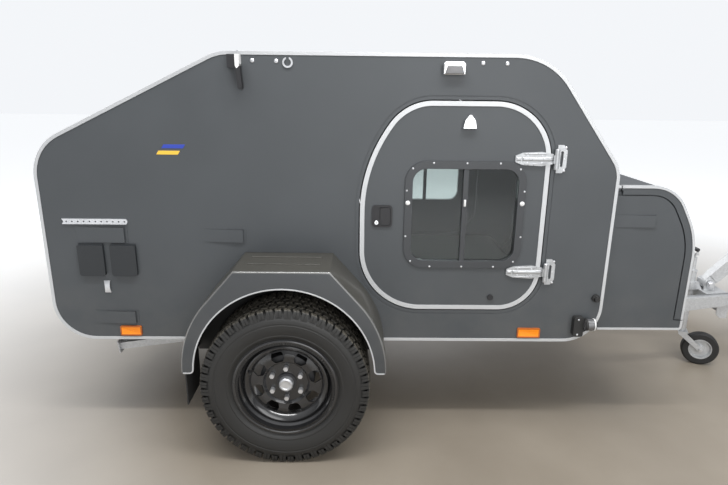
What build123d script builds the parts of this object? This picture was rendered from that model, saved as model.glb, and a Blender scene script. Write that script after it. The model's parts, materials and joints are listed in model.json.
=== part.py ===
from build123d import *
import os
from collections import namedtuple
from math import cos, radians, sin

# Teardrop camping trailer, in millimetres. X points forward, Y to the trailer's left, Z up.
# Every piece is first placed with X measured from the wheel axis and Z from the ground,
# and save() then shifts all of them so that the origin lies under the middle of the trailer.
# Sizes come from a photograph of the right side; the left side mirrors it.

# Body shell
BODY_WIDTH = 1440.0
WALL = 30.0
FLOOR_Z = 468.0
ROOF_Z = 1720.0
REAR_X = -1065.0
FRONT_X = 1416.0
ROOF_REAR_X = -269.0
ROOF_FRONT_X = 1080.0
TAIL_KNEE_Z = 1332.0
FRONT_KNEE_Z = 1264.0
PANEL_GAP = 5.0
SEAT = 0.2
TRIM_FACE = 10.0
TRIM_PROUD = 3.0
TRIM_LIP = 4.0
BOX_TRIM_FACE = 7.0

# Inside: bulkhead, galley and bed
BULKHEAD_X = -180.0
BULKHEAD_THICK = 18.0
FOOT_WELL_X = -640.0
FOOT_WELL_Z = 860.0
GALLEY_TOP_THICK = 25.0
GALLEY_REAR_X = -985.0
GALLEY_LOW_Z = 560.0
GALLEY_SHELF_Z = 1240.0
GALLEY_SHELF_DEPTH = 240.0
GALLEY_BOARD = 15.0
CUPBOARD_EDGE = 50.0
CUPBOARD_POST = 40.0
MATTRESS_THICK = 110.0
MATTRESS_GAP = 6.0
MATTRESS_CORNER_R = 40.0

# Rear hatch
HATCH_TOP_X = -225.0
HATCH_SILL_Z = 760.0
HATCH_PIN_R = 5.0
HATCH_KNUCKLE_R = 9.0
HATCH_KNUCKLE_LENGTH = 90.0
HATCH_HINGE_Y = 480.0
LEAF_LENGTH = 55.0
LEAF_THICK = 3.0

# Side door and its opening
DOOR_REAR_X = 310.0
DOOR_FRONT_X = 1116.0
DOOR_SILL_Z = 622.0
DOOR_TOP_Z = 1539.0
DOOR_FRONT_TOP_R = 245.0
DOOR_FRONT_SILL_R = 180.0
DOOR_REAR_SILL_R = 275.0
DOOR_SHOULDER_RISE = 470.0
DOOR_SHOULDER_RUN = 300.0
DOOR_SHOULDER_SPLIT = 36.0
DOOR_TRIM_WIDTH = 20.0
GROOVE_OUT = 18.0
GROOVE_WIDTH = 4.0
GROOVE_DEPTH = 2.0

# Door window
PANE_REAR_X = 535.0
PANE_FRONT_X = 989.0
PANE_SILL_Z = 853.0
PANE_TOP_Z = 1260.0
PANE_R = 58.0
WINDOW_FLANGE = 33.0
WINDOW_FLANGE_PROUD = 8.0
WINDOW_SLEEVE = 8.0
MULLION_WIDTH = 22.0
GLASS_THICK = 5.0
GLASS_SETBACK = 10.0

# Door hinges
HINGE_X = 1136.0
HINGE_PIN_OUT = 16.0
HINGE_PIN_R = 5.0
HINGE_KNUCKLE_R = 10.0
HINGE_RUN_CLEARANCE = 0.1
HINGE_STRAP_LENGTH = 172.0
HINGE_STRAP_HEIGHT = 60.0
HINGE_STRAP_THICK = 6.0
HINGE_PLATE_HEIGHT = 118.0
HINGE_PLATE_LENGTH = 46.0
HINGE_SLOT_WIDTH = 11.8
HINGE_PLATE_THICK = 6.0
HINGE_Z_UPPER = 1306.0
HINGE_Z_LOWER = 804.0
HINGE_HEIGHTS = (HINGE_Z_UPPER, HINGE_Z_LOWER)

# Wheels
HUB_Z = 362.0
RIM_PROUD = 255.0
TYRE_R = 362.0
TYRE_WIDTH = 235.0
RIM_WIDTH = 203.0
RIM_SHEET = 4.0
RIM_FLANGE_R = 222.0
BEAD_R = 203.0
DISC_SETBACK = 56.0
HUB_CAP_R = 30.0
HUB_CAP_LENGTH = 28.0
NUT_HEIGHT = 22.0
NUT_HOLE_R = 8.0
DISH_RISE = 16.0
WELL_R = 178.0
NUT_PCD = 139.7
NUT_COUNT = 6
DISC_WINDOWS = 8
WINDOW_TURN = 15.4
NUT_ACROSS_R = 11.0
STUD_R = 7.0
DISC_BORE_R = 42.0
DRUM_R = 118.0
DRUM_BACK = 104.0
SPINDLE_R = 15.0
SPINDLE_LENGTH = 66.0

# Fenders
FENDER_PROUD = 270.0
LINER_LOW_Z = 420.0
LINER_SHEET = 3.0
FENDER_TOP_Z = 884.0
FENDER_TOP_HALF = 193.0
FENDER_KNEE_X = 326.0
FENDER_KNEE_Z = 733.0
FENDER_SIDE_X = 398.0
FENDER_SIDE_Z = 605.0
FENDER_FOOT_X = 426.0
FENDER_FOOT_Z = 440.0
FENDER_SHEET = 5.0
ARCH_R = 377.0
ARCH_Z = 435.0
FOOT_CURL_R = 15.0
FENDER_PAD_LENGTH = 300.0
FENDER_PAD_WIDTH = 18.0
FENDER_PAD_RISE = 5.0
FLAP_LOW_Z = 288.0
FLAP_WIDTH = 190.0
FLAP_THICK = 6.0

# Chassis and drawbar
RAIL_HEIGHT = 80.0
RAIL_FLANGE = 45.0
RAIL_SHEET = 4.0
HEAD_SHEET = 8.0
BEARER_XS = (1480.0, 1720.0)
BEARER_ACROSS = 40.0
LEG_REAR_X = -60.0
LEG_REAR_Y = 585.0
LEG_FRONT_X = 2450.0
LEG_FRONT_Y = 120.0
TAIL_RAIL_Y = 430.0
TAIL_RAIL_X = -900.0
HEAD_REAR_X = 2312.0
OVAL_X = 2402.0
LEG_TAPER_X = 2100.0
LEG_TAPER = 20.0
OVAL_LENGTH = 60.0
OVAL_HEIGHT = 24.0
AXLE_TUBE_X = 165.0
AXLE_TUBE_ACROSS = 86.0
SWING_ARM_THICK = 32.0

# Front box
BOX_INSET = 30.0
BOX_REAR_X = 1422.0
BOX_FRONT_X = 1815.0
BOX_FLOOR_Z = 515.0
BOX_TOP_Z = 1186.0
BOX_SHOULDER_X = 1690.0
BOX_BROW_Z = 960.0
BOX_SKIN = 18.0
BOX_RIM = 36.0
BOX_RIM_SHEET = 6.0
BOX_LID_SILL_Z = 558.0
BOX_LID_SETBACK = 30.0
BEARER_HEIGHT = BOX_FLOOR_Z - FLOOR_Z

# Height-adjustable drawbar arm and overrun coupling
ARM_PIVOT_X = 2361.0
ARM_PIVOT_Z = 506.0
ARM_LENGTH = 300.0
ARM_RISE = 46.0
ARM_WIDTH = 56.0
ARM_DEPTH = 68.0
ARM_SHEET = 6.0
ARM_WEB_DROP = 10.0
ARM_END = 60.0
ARM_PIN_R = 12.0
TOOTH_DISC_R = 32.0
TEETH = 24
TOOTH_DEPTH = 2.5
TOOTH_RING_THICK = 5.0
EAR_THICK = 12.0
EAR_GAP = 0.3
OVERRUN_LENGTH = 350.0
OVERRUN_HALF_HEIGHT = 40.0
OVERRUN_CORNER_R = 12.0
NOSE_X = 3131.0
BALL_SOCKET_R = 25.5
HEAD_NOSE = 46.0
HEAD_BEVEL = 12.0
GRIP_HALF = 13.0
DRAWTUBE_R = 22.0
BELLOWS_R = 34.0
BELLOWS_RIDGES = 5
BELLOWS_PITCH = 14.0
LEVER_LENGTH = 300.0
LEVER_LEAN = 112.0

# Jockey wheel
JOCKEY_X = 2270.0
JOCKEY_TUBE_R = 24.0
JOCKEY_BORE_R = 20.5
JOCKEY_LEG_R = 20.2
JOCKEY_TUBE_TOP_Z = 572.0
JOCKEY_SLEEVE_R = 14.0
JOCKEY_SLEEVE_TOP_Z = 658.0
JOCKEY_TUBE_LOW_Z = 386.0
JOCKEY_TRAVEL = 110.0
JOCKEY_WHEEL_R = 100.0
JOCKEY_WHEEL_WIDTH = 50.0
JOCKEY_TRAIL = 108.0
JOCKEY_SWIVEL = -22.0
CRANK_REACH = 22.0
GRIP_LENGTH = 46.0
GRIP_R = 11.0
FORK_TOP_Z = 200.0
CLAMP_HEIGHT = 46.0
CLAMP_WALL = 8.0
CLAMP_HALF = 26.0

# Rear steadies
STEADY_PIVOT_X = -430.0
STEADY_PIVOT_Z = 425.0
STEADY_Y = 575.0
STEADY_LENGTH = 420.0
STEADY_DROOP = 8.0

# Small fittings. The rear lamps are the rearmost pieces
LAMP_PROUD = 34.0
LAMP_Z = 702.0
RAIL_HOLES = 11
RAIL_HOLE_PITCH = 25.0
RAIL_HOLE_R = 3.5
ACCESSORY_RAIL_Z = 1019.0
ACCESSORY_RAIL_LENGTH = 282.0
ACCESSORY_RAIL_HEIGHT = 24.0
VENT_PROUD = 11.0
VENT_BASE = 1.5
VENT_SHEET = 2.0
VENT_FRAME = 12.0
BOX_VENT_LENGTH = 186.0
BOX_VENT_HEIGHT = 62.0
COWL_HALF = 33.0
COWL_HEIGHT = 64.0
COWL_PROUD = 20.0
LOCK_WIDTH = 89.0
LOCK_HEIGHT = 97.0
PORCH_LAMP_LENGTH = 93.0
PORCH_LAMP_HEIGHT = 52.0
PORCH_LAMP_PROUD = 26.0
AWNING_REACH = 46.0
EYE_R = 21.0
PLATE_LENGTH = 530.0
PLATE_HEIGHT = 120.0
LATCH_Y = 420.0
LATCH_SIZE = 90.0
MARKER_BASE_LENGTH = 46.0
MARKER_LENS_R = 27.0
MARKER_LENS_LENGTH = 43.0

HALF = BODY_WIDTH / 2
RIM_OUTER_Y = HALF + RIM_PROUD
FENDER_Y = HALF + FENDER_PROUD
INNER = HALF - WALL
GALLEY_DIVIDER_Y = INNER / 3
CUPBOARD_MOUTHS = (
    (CUPBOARD_EDGE - INNER, -GALLEY_DIVIDER_Y - CUPBOARD_POST),
    (CUPBOARD_POST - GALLEY_DIVIDER_Y, GALLEY_DIVIDER_Y - CUPBOARD_POST),
    (GALLEY_DIVIDER_Y + CUPBOARD_POST, INNER - CUPBOARD_EDGE),
)
SEAT_Y = HALF + SEAT
BEAD_T = RIM_SHEET + SEAT
RAIL_TOP = FLOOR_Z
RAIL_LOW = FLOOR_Z - RAIL_HEIGHT
BOX_HALF = HALF - BOX_INSET
UPPER_PIVOT_X = ARM_PIVOT_X + ARM_LENGTH * cos(radians(ARM_RISE))
UPPER_PIVOT_Z = ARM_PIVOT_Z + ARM_LENGTH * sin(radians(ARM_RISE))
HEAD_Z = UPPER_PIVOT_Z
BALL_X = NOSE_X - HEAD_NOSE
TAIL_X = REAR_X - LAMP_PROUD
AXLE_X = -(NOSE_X + TAIL_X) / 2

os.makedirs("parts", exist_ok=True)

Corner = namedtuple("Corner", "x z radius")


def side_plane(y):
    """Drawing plane across the trailer at y, with its own x forward and its own y up."""
    return Plane(origin=(0, y, 0), x_dir=(1, 0, 0), z_dir=(0, -1, 0))


def plate(face, y_low, y_high):
    """Raise a side-view face into a plate between two distances across the trailer."""
    return extrude(side_plane(y_low) * face, amount=y_low - y_high)


def slab(face, z_low, z_high):
    """Raise a plan-view face between two heights."""
    return extrude(Pos(0, 0, z_low) * face, amount=z_high - z_low)


def box_between(x0, x1, y0, y1, z0, z1):
    """Box between three pairs of limits."""
    centre = Pos((x0 + x1) / 2, (y0 + y1) / 2, (z0 + z1) / 2)
    return centre * Box(x1 - x0, y1 - y0, z1 - z0)


def rectangle(x0, x1, z0, z1):
    """Side-view rectangle between two pairs of limits."""
    return Pos((x0 + x1) / 2, (z0 + z1) / 2) * Rectangle(x1 - x0, z1 - z0)


def rounded(x0, x1, z0, z1, radius):
    """Side-view rectangle with rounded corners."""
    return Pos((x0 + x1) / 2, (z0 + z1) / 2) * RectangleRounded(x1 - x0, z1 - z0, radius)


def outline(corners):
    """Closed side-view face from corners with a radius each."""
    points = [(corner.x, corner.z) for corner in corners]
    radii = [corner.radius for corner in corners]
    return make_face(FilletPolyline(*points, radius=radii, close=True))


def grown(face, amount):
    """The face with its edge moved outwards, or inwards when negative."""
    return offset(face, amount=amount, kind=Kind.ARC)


def disc(x, z, radius, y_low, y_high):
    """Round plate about an axis across the trailer."""
    return plate(Pos(x, z) * Circle(radius), y_low, y_high)


def both_sides(part):
    """The right-hand piece and its mirrored copy on the left."""
    return Compound(children=[*part.solids(), *mirror(part, about=Plane.XZ).solids()])


def pair(*parts):
    """Solids of several pieces, kept apart in one compound."""
    return Compound(children=[solid for part in parts for solid in part.solids()])


def save(node, part):
    """Write one piece to its own file, with the origin under the trailer's middle."""
    solids = part.solids()
    placed = Compound(children=solids) if len(solids) > 1 else solids[0]
    placed = Pos(AXLE_X, 0, 0) * placed
    export_step(placed, f"parts/{node}.step")


def door_outline():
    """Door edge: a long two-arc shoulder at the upper rear and three plain corners."""
    split = radians(DOOR_SHOULDER_SPLIT)
    spread = (DOOR_SHOULDER_RISE - DOOR_SHOULDER_RUN) / (sin(split) + cos(split) - 1)
    small = DOOR_SHOULDER_RUN - spread * (1 - cos(split))
    rear = Line(
        (DOOR_REAR_X, DOOR_SILL_Z + DOOR_REAR_SILL_R),
        (DOOR_REAR_X, DOOR_TOP_Z - DOOR_SHOULDER_RISE),
    )
    shoulder = JernArc(rear @ 1, rear % 1, small + spread, -DOOR_SHOULDER_SPLIT)
    crown = JernArc(shoulder @ 1, shoulder % 1, small, DOOR_SHOULDER_SPLIT - 90)
    top = Line(crown @ 1, (DOOR_FRONT_X - DOOR_FRONT_TOP_R, DOOR_TOP_Z))
    front_top = JernArc(top @ 1, top % 1, DOOR_FRONT_TOP_R, -90)
    front = Line(front_top @ 1, (DOOR_FRONT_X, DOOR_SILL_Z + DOOR_FRONT_SILL_R))
    front_sill = JernArc(front @ 1, front % 1, DOOR_FRONT_SILL_R, -90)
    sill = Line(front_sill @ 1, (DOOR_REAR_X + DOOR_REAR_SILL_R, DOOR_SILL_Z))
    rear_sill = JernArc(sill @ 1, sill % 1, DOOR_REAR_SILL_R, -90)
    edges = rear + shoulder + crown + top + front_top + front + front_sill + sill + rear_sill
    return make_face(edges)


BODY_CORNERS = [
    Corner(REAR_X, FLOOR_Z, 175.0),
    Corner(FRONT_X, FLOOR_Z, 165.0),
    Corner(FRONT_X, FRONT_KNEE_Z, 140.0),
    Corner(ROOF_FRONT_X, ROOF_Z, 290.0),
    Corner(ROOF_REAR_X, ROOF_Z, 200.0),
    Corner(REAR_X, TAIL_KNEE_Z, 205.0),
]
BOX_CORNERS = [
    Corner(BOX_REAR_X, BOX_FLOOR_Z, 0.0),
    Corner(BOX_FRONT_X, BOX_FLOOR_Z, 12.0),
    Corner(BOX_FRONT_X, BOX_BROW_Z, 400.0),
    Corner(BOX_SHOULDER_X, BOX_TOP_Z, 168.0),
    Corner(BOX_REAR_X, BOX_TOP_Z, 0.0),
]

body_face = outline(BODY_CORNERS)
door_face = door_outline()
box_face = outline(BOX_CORNERS)
pane_face = rounded(PANE_REAR_X, PANE_FRONT_X, PANE_SILL_Z, PANE_TOP_Z, PANE_R)


def side_panels():
    """Both side walls, each one plate with its door opening and the groove round it."""
    opening = grown(door_face, PANEL_GAP)
    wall = plate(body_face - opening, -HALF, -INNER)
    groove = grown(door_face, GROOVE_OUT + GROOVE_WIDTH) - grown(door_face, GROOVE_OUT)
    return wall - plate(groove, -HALF, GROOVE_DEPTH - HALF)


def edge_trim():
    """Edge profile round a side wall: a flat face outside and a lip over the edge."""
    face = grown(body_face, TRIM_LIP) - grown(body_face, -TRIM_FACE)
    lip = grown(body_face, TRIM_LIP) - grown(body_face, SEAT)
    return plate(face, -HALF - TRIM_PROUD, -SEAT_Y) + plate(lip, -SEAT_Y, -INNER)


def trim_zone():
    """Space that the right edge profile takes, which what lies over it keeps clear of."""
    face = grown(body_face, TRIM_LIP + SEAT) - grown(body_face, -TRIM_FACE - SEAT)
    return plate(face, -HALF - TRIM_PROUD - SEAT, -HALF)


def shell_ring():
    """The wrapped skin between the side walls, before it is split into its panels."""
    return body_face - grown(body_face, -WALL)


def across(face, half=INNER):
    """A piece that spans between the side walls."""
    return plate(face, -half, half)


def roof_skin():
    """Roof, front slope and front wall, bent from one panel."""
    low, high = FLOOR_Z - WALL, ROOF_Z + WALL
    nose = rectangle(FRONT_X - BODY_CORNERS[1].radius, FRONT_X + WALL, low, high)
    roof = rectangle(HATCH_TOP_X, FRONT_X + WALL, HATCH_SILL_Z + WALL, high)
    return across(shell_ring() & (nose + roof))


def floor_panel():
    """Flat floor between the two lower corners."""
    rear = REAR_X + BODY_CORNERS[0].radius
    front = FRONT_X - BODY_CORNERS[1].radius
    return across(rectangle(rear, front, FLOOR_Z, FLOOR_Z + WALL))


def rear_sill():
    """Fixed lower rear panel that carries the lamps."""
    rear = REAR_X + BODY_CORNERS[0].radius
    return across(shell_ring() & rectangle(REAR_X - WALL, rear, FLOOR_Z - WALL, HATCH_SILL_Z))


def inside_face():
    """The space inside the wrapped skin."""
    return grown(body_face, -WALL)


def bulkhead():
    """Wall between cabin and galley, stepped back over the foot of the bed."""
    upper = rectangle(BULKHEAD_X - BULKHEAD_THICK, BULKHEAD_X, FOOT_WELL_Z, ROOF_Z)
    shelf = rectangle(FOOT_WELL_X, BULKHEAD_X, FOOT_WELL_Z, FOOT_WELL_Z + BULKHEAD_THICK)
    lower = rectangle(
        FOOT_WELL_X - BULKHEAD_THICK, FOOT_WELL_X, FLOOR_Z + WALL, FOOT_WELL_Z + BULKHEAD_THICK
    )
    return across((upper + shelf + lower) & inside_face())


def galley_unit():
    """Kitchen unit behind the bulkhead: worktop, front, plinth, dividers and a shelf."""
    top_z = FOOT_WELL_Z + BULKHEAD_THICK
    front_x = BULKHEAD_X - BULKHEAD_THICK
    worktop = rectangle(GALLEY_REAR_X, front_x, top_z, top_z + GALLEY_TOP_THICK)
    base_front = rectangle(
        GALLEY_REAR_X + 20, GALLEY_REAR_X + 20 + GALLEY_BOARD, GALLEY_LOW_Z, top_z
    )
    shelf_front = front_x - GALLEY_SHELF_DEPTH
    shelf = rectangle(shelf_front, front_x, GALLEY_SHELF_Z, GALLEY_SHELF_Z + GALLEY_BOARD)
    unit = across((worktop + base_front + shelf) & inside_face())
    base = rectangle(GALLEY_REAR_X + 20, FOOT_WELL_X - BULKHEAD_THICK, FLOOR_Z + WALL, top_z)
    upper = rectangle(shelf_front, front_x, top_z + GALLEY_TOP_THICK, GALLEY_SHELF_Z)
    upright = (base + upper) & inside_face()
    for y in (-GALLEY_DIVIDER_Y, GALLEY_DIVIDER_Y):
        unit += plate(upright, y - GALLEY_BOARD / 2, y + GALLEY_BOARD / 2)
    for y0, y1 in CUPBOARD_MOUTHS:
        unit -= box_between(
            GALLEY_REAR_X, GALLEY_REAR_X + 50, y0, y1, GALLEY_LOW_Z + 40, FOOT_WELL_Z - 20
        )
    return unit


def mattress():
    """Plain closed body of the mattress on the floor, under the galley at its foot."""
    half = INNER - MATTRESS_GAP
    z0 = FLOOR_Z + WALL + SEAT
    rear = FOOT_WELL_X + MATTRESS_GAP
    front = FRONT_X - BODY_CORNERS[1].radius
    block = box_between(rear, front, -half, half, z0, z0 + MATTRESS_THICK)
    return fillet(block.edges().filter_by(Axis.Z), MATTRESS_CORNER_R)


def hatch_panel():
    """Rear hatch: tail slope and rear wall in one bent panel."""
    ring = shell_ring()
    high = ROOF_Z + WALL
    top_end = HATCH_TOP_X - PANEL_GAP
    upper = rectangle(REAR_X - WALL, top_end, HATCH_SILL_Z + PANEL_GAP, high)
    return across(ring & upper, INNER - PANEL_GAP)


HingeLine = namedtuple("HingeLine", "x surface_z")
HATCH_HINGE = HingeLine(HATCH_TOP_X - PANEL_GAP / 2, ROOF_Z)
LID_HINGE = HingeLine(BOX_REAR_X + BOX_LID_SETBACK - PANEL_GAP / 2, BOX_TOP_Z)


def pin_z(line):
    """Height of a butt hinge's pin over the panels that it joins."""
    return line.surface_z + HATCH_KNUCKLE_R + 1


def knuckle(line, y_low, y_high, side, leaf_length):
    """One knuckle with its leaf, ahead of the pin (side 1) or behind it (side -1)."""
    barrel = disc(line.x, pin_z(line), HATCH_KNUCKLE_R, y_low, y_high)
    leaf_end = line.x + side * leaf_length
    low, high = line.surface_z + SEAT, line.surface_z + SEAT + LEAF_THICK
    return barrel + box_between(min(line.x, leaf_end), max(line.x, leaf_end), y_low, y_high, low, high)


def pinned_leaves(line, side, leaf_length):
    """Fixed halves of a pair of butt hinges: two knuckles each, with the pin."""
    solids = []
    third = HATCH_KNUCKLE_LENGTH / 3
    for y in (-HATCH_HINGE_Y, HATCH_HINGE_Y):
        low, high = y - HATCH_KNUCKLE_LENGTH / 2, y + HATCH_KNUCKLE_LENGTH / 2
        leaf = knuckle(line, low, low + third, side, leaf_length)
        leaf += knuckle(line, high - third, high, side, leaf_length)
        leaf += disc(line.x, pin_z(line), HATCH_PIN_R, low, high)
        solids.extend(leaf.solids())
    return Compound(children=solids)


def bored_leaves(line, side, leaf_length):
    """Moving halves of a pair of butt hinges: one bored knuckle each."""
    solids = []
    reach = HATCH_KNUCKLE_LENGTH / 6 - 0.5
    for y in (-HATCH_HINGE_Y, HATCH_HINGE_Y):
        leaf = knuckle(line, y - reach, y + reach, side, leaf_length)
        bore_r = HATCH_PIN_R + HINGE_RUN_CLEARANCE
        bore = disc(line.x, pin_z(line), bore_r, y - reach - 1, y + reach + 1)
        solids.extend((leaf - bore).solids())
    return Compound(children=solids)


def window_opening():
    """Hole in the door for the window sleeve."""
    return grown(pane_face, WINDOW_SLEEVE)


def door_panel():
    """Door leaf as thick as the wall, with its window cut out."""
    return plate(door_face - window_opening(), -HALF, -INNER)


def door_trim():
    """Bright edge profile on the door's outer face."""
    return plate(door_face - grown(door_face, -DOOR_TRIM_WIDTH), -HALF - TRIM_PROUD, -SEAT_Y)


def window_frame():
    """Window frame: outer flange, sleeve through the door and the middle bar."""
    flange = grown(pane_face, WINDOW_FLANGE) - pane_face
    frame = plate(flange, -HALF - WINDOW_FLANGE_PROUD, -SEAT_Y)
    sleeve = grown(pane_face, WINDOW_SLEEVE - SEAT) - pane_face
    frame += plate(sleeve, -SEAT_Y, -INNER)
    middle = (PANE_REAR_X + PANE_FRONT_X) / 2
    bar = rectangle(middle - MULLION_WIDTH / 2, middle + MULLION_WIDTH / 2, PANE_SILL_Z, PANE_TOP_Z)
    return frame + plate(bar, -HALF - 4, -HALF + GLASS_SETBACK + GLASS_THICK + 4)


def window_glass():
    """Two sliding panes, one each side of the middle bar."""
    middle = (PANE_REAR_X + PANE_FRONT_X) / 2
    bar = rectangle(middle - MULLION_WIDTH / 2, middle + MULLION_WIDTH / 2, PANE_SILL_Z, PANE_TOP_Z)
    near = GLASS_SETBACK - HALF
    return plate(grown(pane_face, -SEAT) - grown(bar, SEAT), near, near + GLASS_THICK)


def hinge_straps():
    """Door halves of the strap hinges: a tapered strap and its middle knuckle."""
    straps = []
    pin_y = -HALF - HINGE_PIN_OUT
    for z in HINGE_HEIGHTS:
        tip_x = HINGE_X - HINGE_STRAP_LENGTH
        half = HINGE_STRAP_HEIGHT / 2
        points = [
            (HINGE_X - HINGE_KNUCKLE_R - 2, z - half * 0.7),
            (HINGE_X - 60, z - half),
            (tip_x + 30, z - half * 0.85),
            (tip_x, z - half * 0.45),
            (tip_x, z + half * 0.45),
            (tip_x + 30, z + half * 0.85),
            (HINGE_X - 60, z + half),
            (HINGE_X - HINGE_KNUCKLE_R - 2, z + half * 0.7),
        ]
        blade = make_face(Polyline(*points, close=True))
        outer = -HALF - TRIM_PROUD - HINGE_STRAP_THICK
        strap = plate(blade, outer, -HALF - TRIM_PROUD - SEAT)
        seat = blade & grown(door_face, -DOOR_TRIM_WIDTH - 1)
        strap += plate(seat, outer, -SEAT_Y)
        knuckle_half = half * 0.6
        barrel = Pos(HINGE_X, pin_y, z) * Cylinder(HINGE_KNUCKLE_R, 2 * knuckle_half)
        ear = box_between(
            HINGE_X - HINGE_KNUCKLE_R - 2.5, HINGE_X, pin_y - 4, pin_y + 7, z - knuckle_half,
            z + knuckle_half,
        )
        bore = Pos(HINGE_X, pin_y, z) * Cylinder(HINGE_PIN_R + HINGE_RUN_CLEARANCE, 200)
        straps.append((strap + ear + barrel) - bore)
    return Compound(children=[solid for strap in straps for solid in strap.solids()])


def hinge_plates():
    """Wall halves of the strap hinges: a slotted plate, two knuckles and the pin."""
    plates = []
    pin_y = -HALF - HINGE_PIN_OUT
    half = HINGE_STRAP_HEIGHT / 2
    knuckle_half = half * 0.6
    for z in HINGE_HEIGHTS:
        rear = HINGE_X + 4
        front = HINGE_X + HINGE_PLATE_LENGTH
        tall = HINGE_PLATE_HEIGHT / 2
        points = [
            (rear, z - tall),
            (front - 16, z - tall),
            (front, z - tall + 24),
            (front, z + tall - 24),
            (front - 16, z + tall),
            (rear, z + tall),
        ]
        slot_rear = HINGE_X + 18
        slot_front = slot_rear + HINGE_SLOT_WIDTH
        slot = rounded(slot_rear, slot_front, z - tall + 26, z + tall - 26, 5.8)
        face = make_face(Polyline(*points, close=True)) - slot
        body = plate(face, -HALF - HINGE_PLATE_THICK, -SEAT_Y)
        for sign in (-1, 1):
            low = z + sign * (knuckle_half + 0.5)
            high = z + sign * (knuckle_half + 22)
            middle = (low + high) / 2
            height = abs(high - low)
            body += Pos(HINGE_X, pin_y, middle) * Cylinder(HINGE_KNUCKLE_R, height)
            body += box_between(
                HINGE_X, HINGE_X + 14, pin_y - 4, -SEAT_Y, min(low, high), max(low, high)
            )
        body += Pos(HINGE_X, pin_y, z) * Cylinder(HINGE_PIN_R, 2 * (knuckle_half + 22))
        plates.append(body)
    return Compound(children=[solid for item in plates for solid in item.solids()])


def door_fittings():
    """Lock, clam-shell cowl and holding catch on the door's outer face."""
    x0, x1 = DOOR_REAR_X + 52, DOOR_REAR_X + 52 + LOCK_WIDTH
    z0, z1 = DOOR_SILL_Z + 382, DOOR_SILL_Z + 382 + LOCK_HEIGHT
    case = plate(rounded(x0, x1, z0, z1, 16), -HALF - 6, -SEAT_Y)
    case -= plate(rounded(x0 + 8, x1 - 8, z0 + 8, z1 - 8, 12), -HALF - 7, -HALF - 2)
    paddle = plate(rounded(x0 + 36, x1 - 10, z0 + 10, z1 - 10, 10), -HALF - 8, -HALF - 2)
    keyway = disc(x0 + 20, z0 + 20, 8, -HALF - 9, -HALF - 2)
    middle, foot = (PANE_REAR_X + PANE_FRONT_X) / 2, DOOR_TOP_Z - 114
    arch = outline(
        [
            Corner(middle - COWL_HALF, foot, 3),
            Corner(middle + COWL_HALF, foot, 3),
            Corner(middle + COWL_HALF * 0.78, foot + COWL_HEIGHT * 0.62, 30),
            Corner(middle, foot + COWL_HEIGHT + 8, 12),
            Corner(middle - COWL_HALF * 0.78, foot + COWL_HEIGHT * 0.62, 30),
        ]
    )
    cowl = extrude(side_plane(-SEAT_Y) * arch, amount=COWL_PROUD, taper=14)
    catch = disc(middle + 141, DOOR_SILL_Z + 59, 13, -HALF - 8, -SEAT_Y)
    return case + paddle + keyway + cowl + catch


def tyre():
    """Tyre section turned about the wheel axis, open inside."""
    bulge = (TYRE_WIDTH - RIM_WIDTH) / 2
    outer_half = [
        (BEAD_T, BEAD_R + SEAT),
        (BEAD_T, RIM_FLANGE_R + 4),
        (-bulge, RIM_FLANGE_R + 64),
        (2, TYRE_R - 12),
        (22, TYRE_R),
    ]
    inner_half = [
        (26, BEAD_R + SEAT),
        (4, RIM_FLANGE_R + 64),
        (22, TYRE_R - 26),
    ]
    outer = outer_half + [(RIM_WIDTH - t, r) for t, r in reversed(outer_half)]
    inner = inner_half + [(RIM_WIDTH - t, r) for t, r in reversed(inner_half)]
    return wheel_turn([*outer, *reversed(inner)])


def wheel_turn(points, closed=True):
    """Turn a section about the right wheel's axis. Points are (inward, radius)."""
    path = [(t - RIM_OUTER_Y, HUB_Z + r) for t, r in points]
    face = Plane.YZ * make_face(Polyline(*path, close=closed))
    return revolve(face, axis=Axis((0, 0, HUB_Z), (0, 1, 0)))


WINDOW_CORNERS = [
    Corner(-17, 102, 7),
    Corner(17, 102, 7),
    Corner(29, 121, 7),
    Corner(23, 148.5, 7),
    Corner(-23, 148.5, 7),
    Corner(-29, 121, 7),
]


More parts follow.
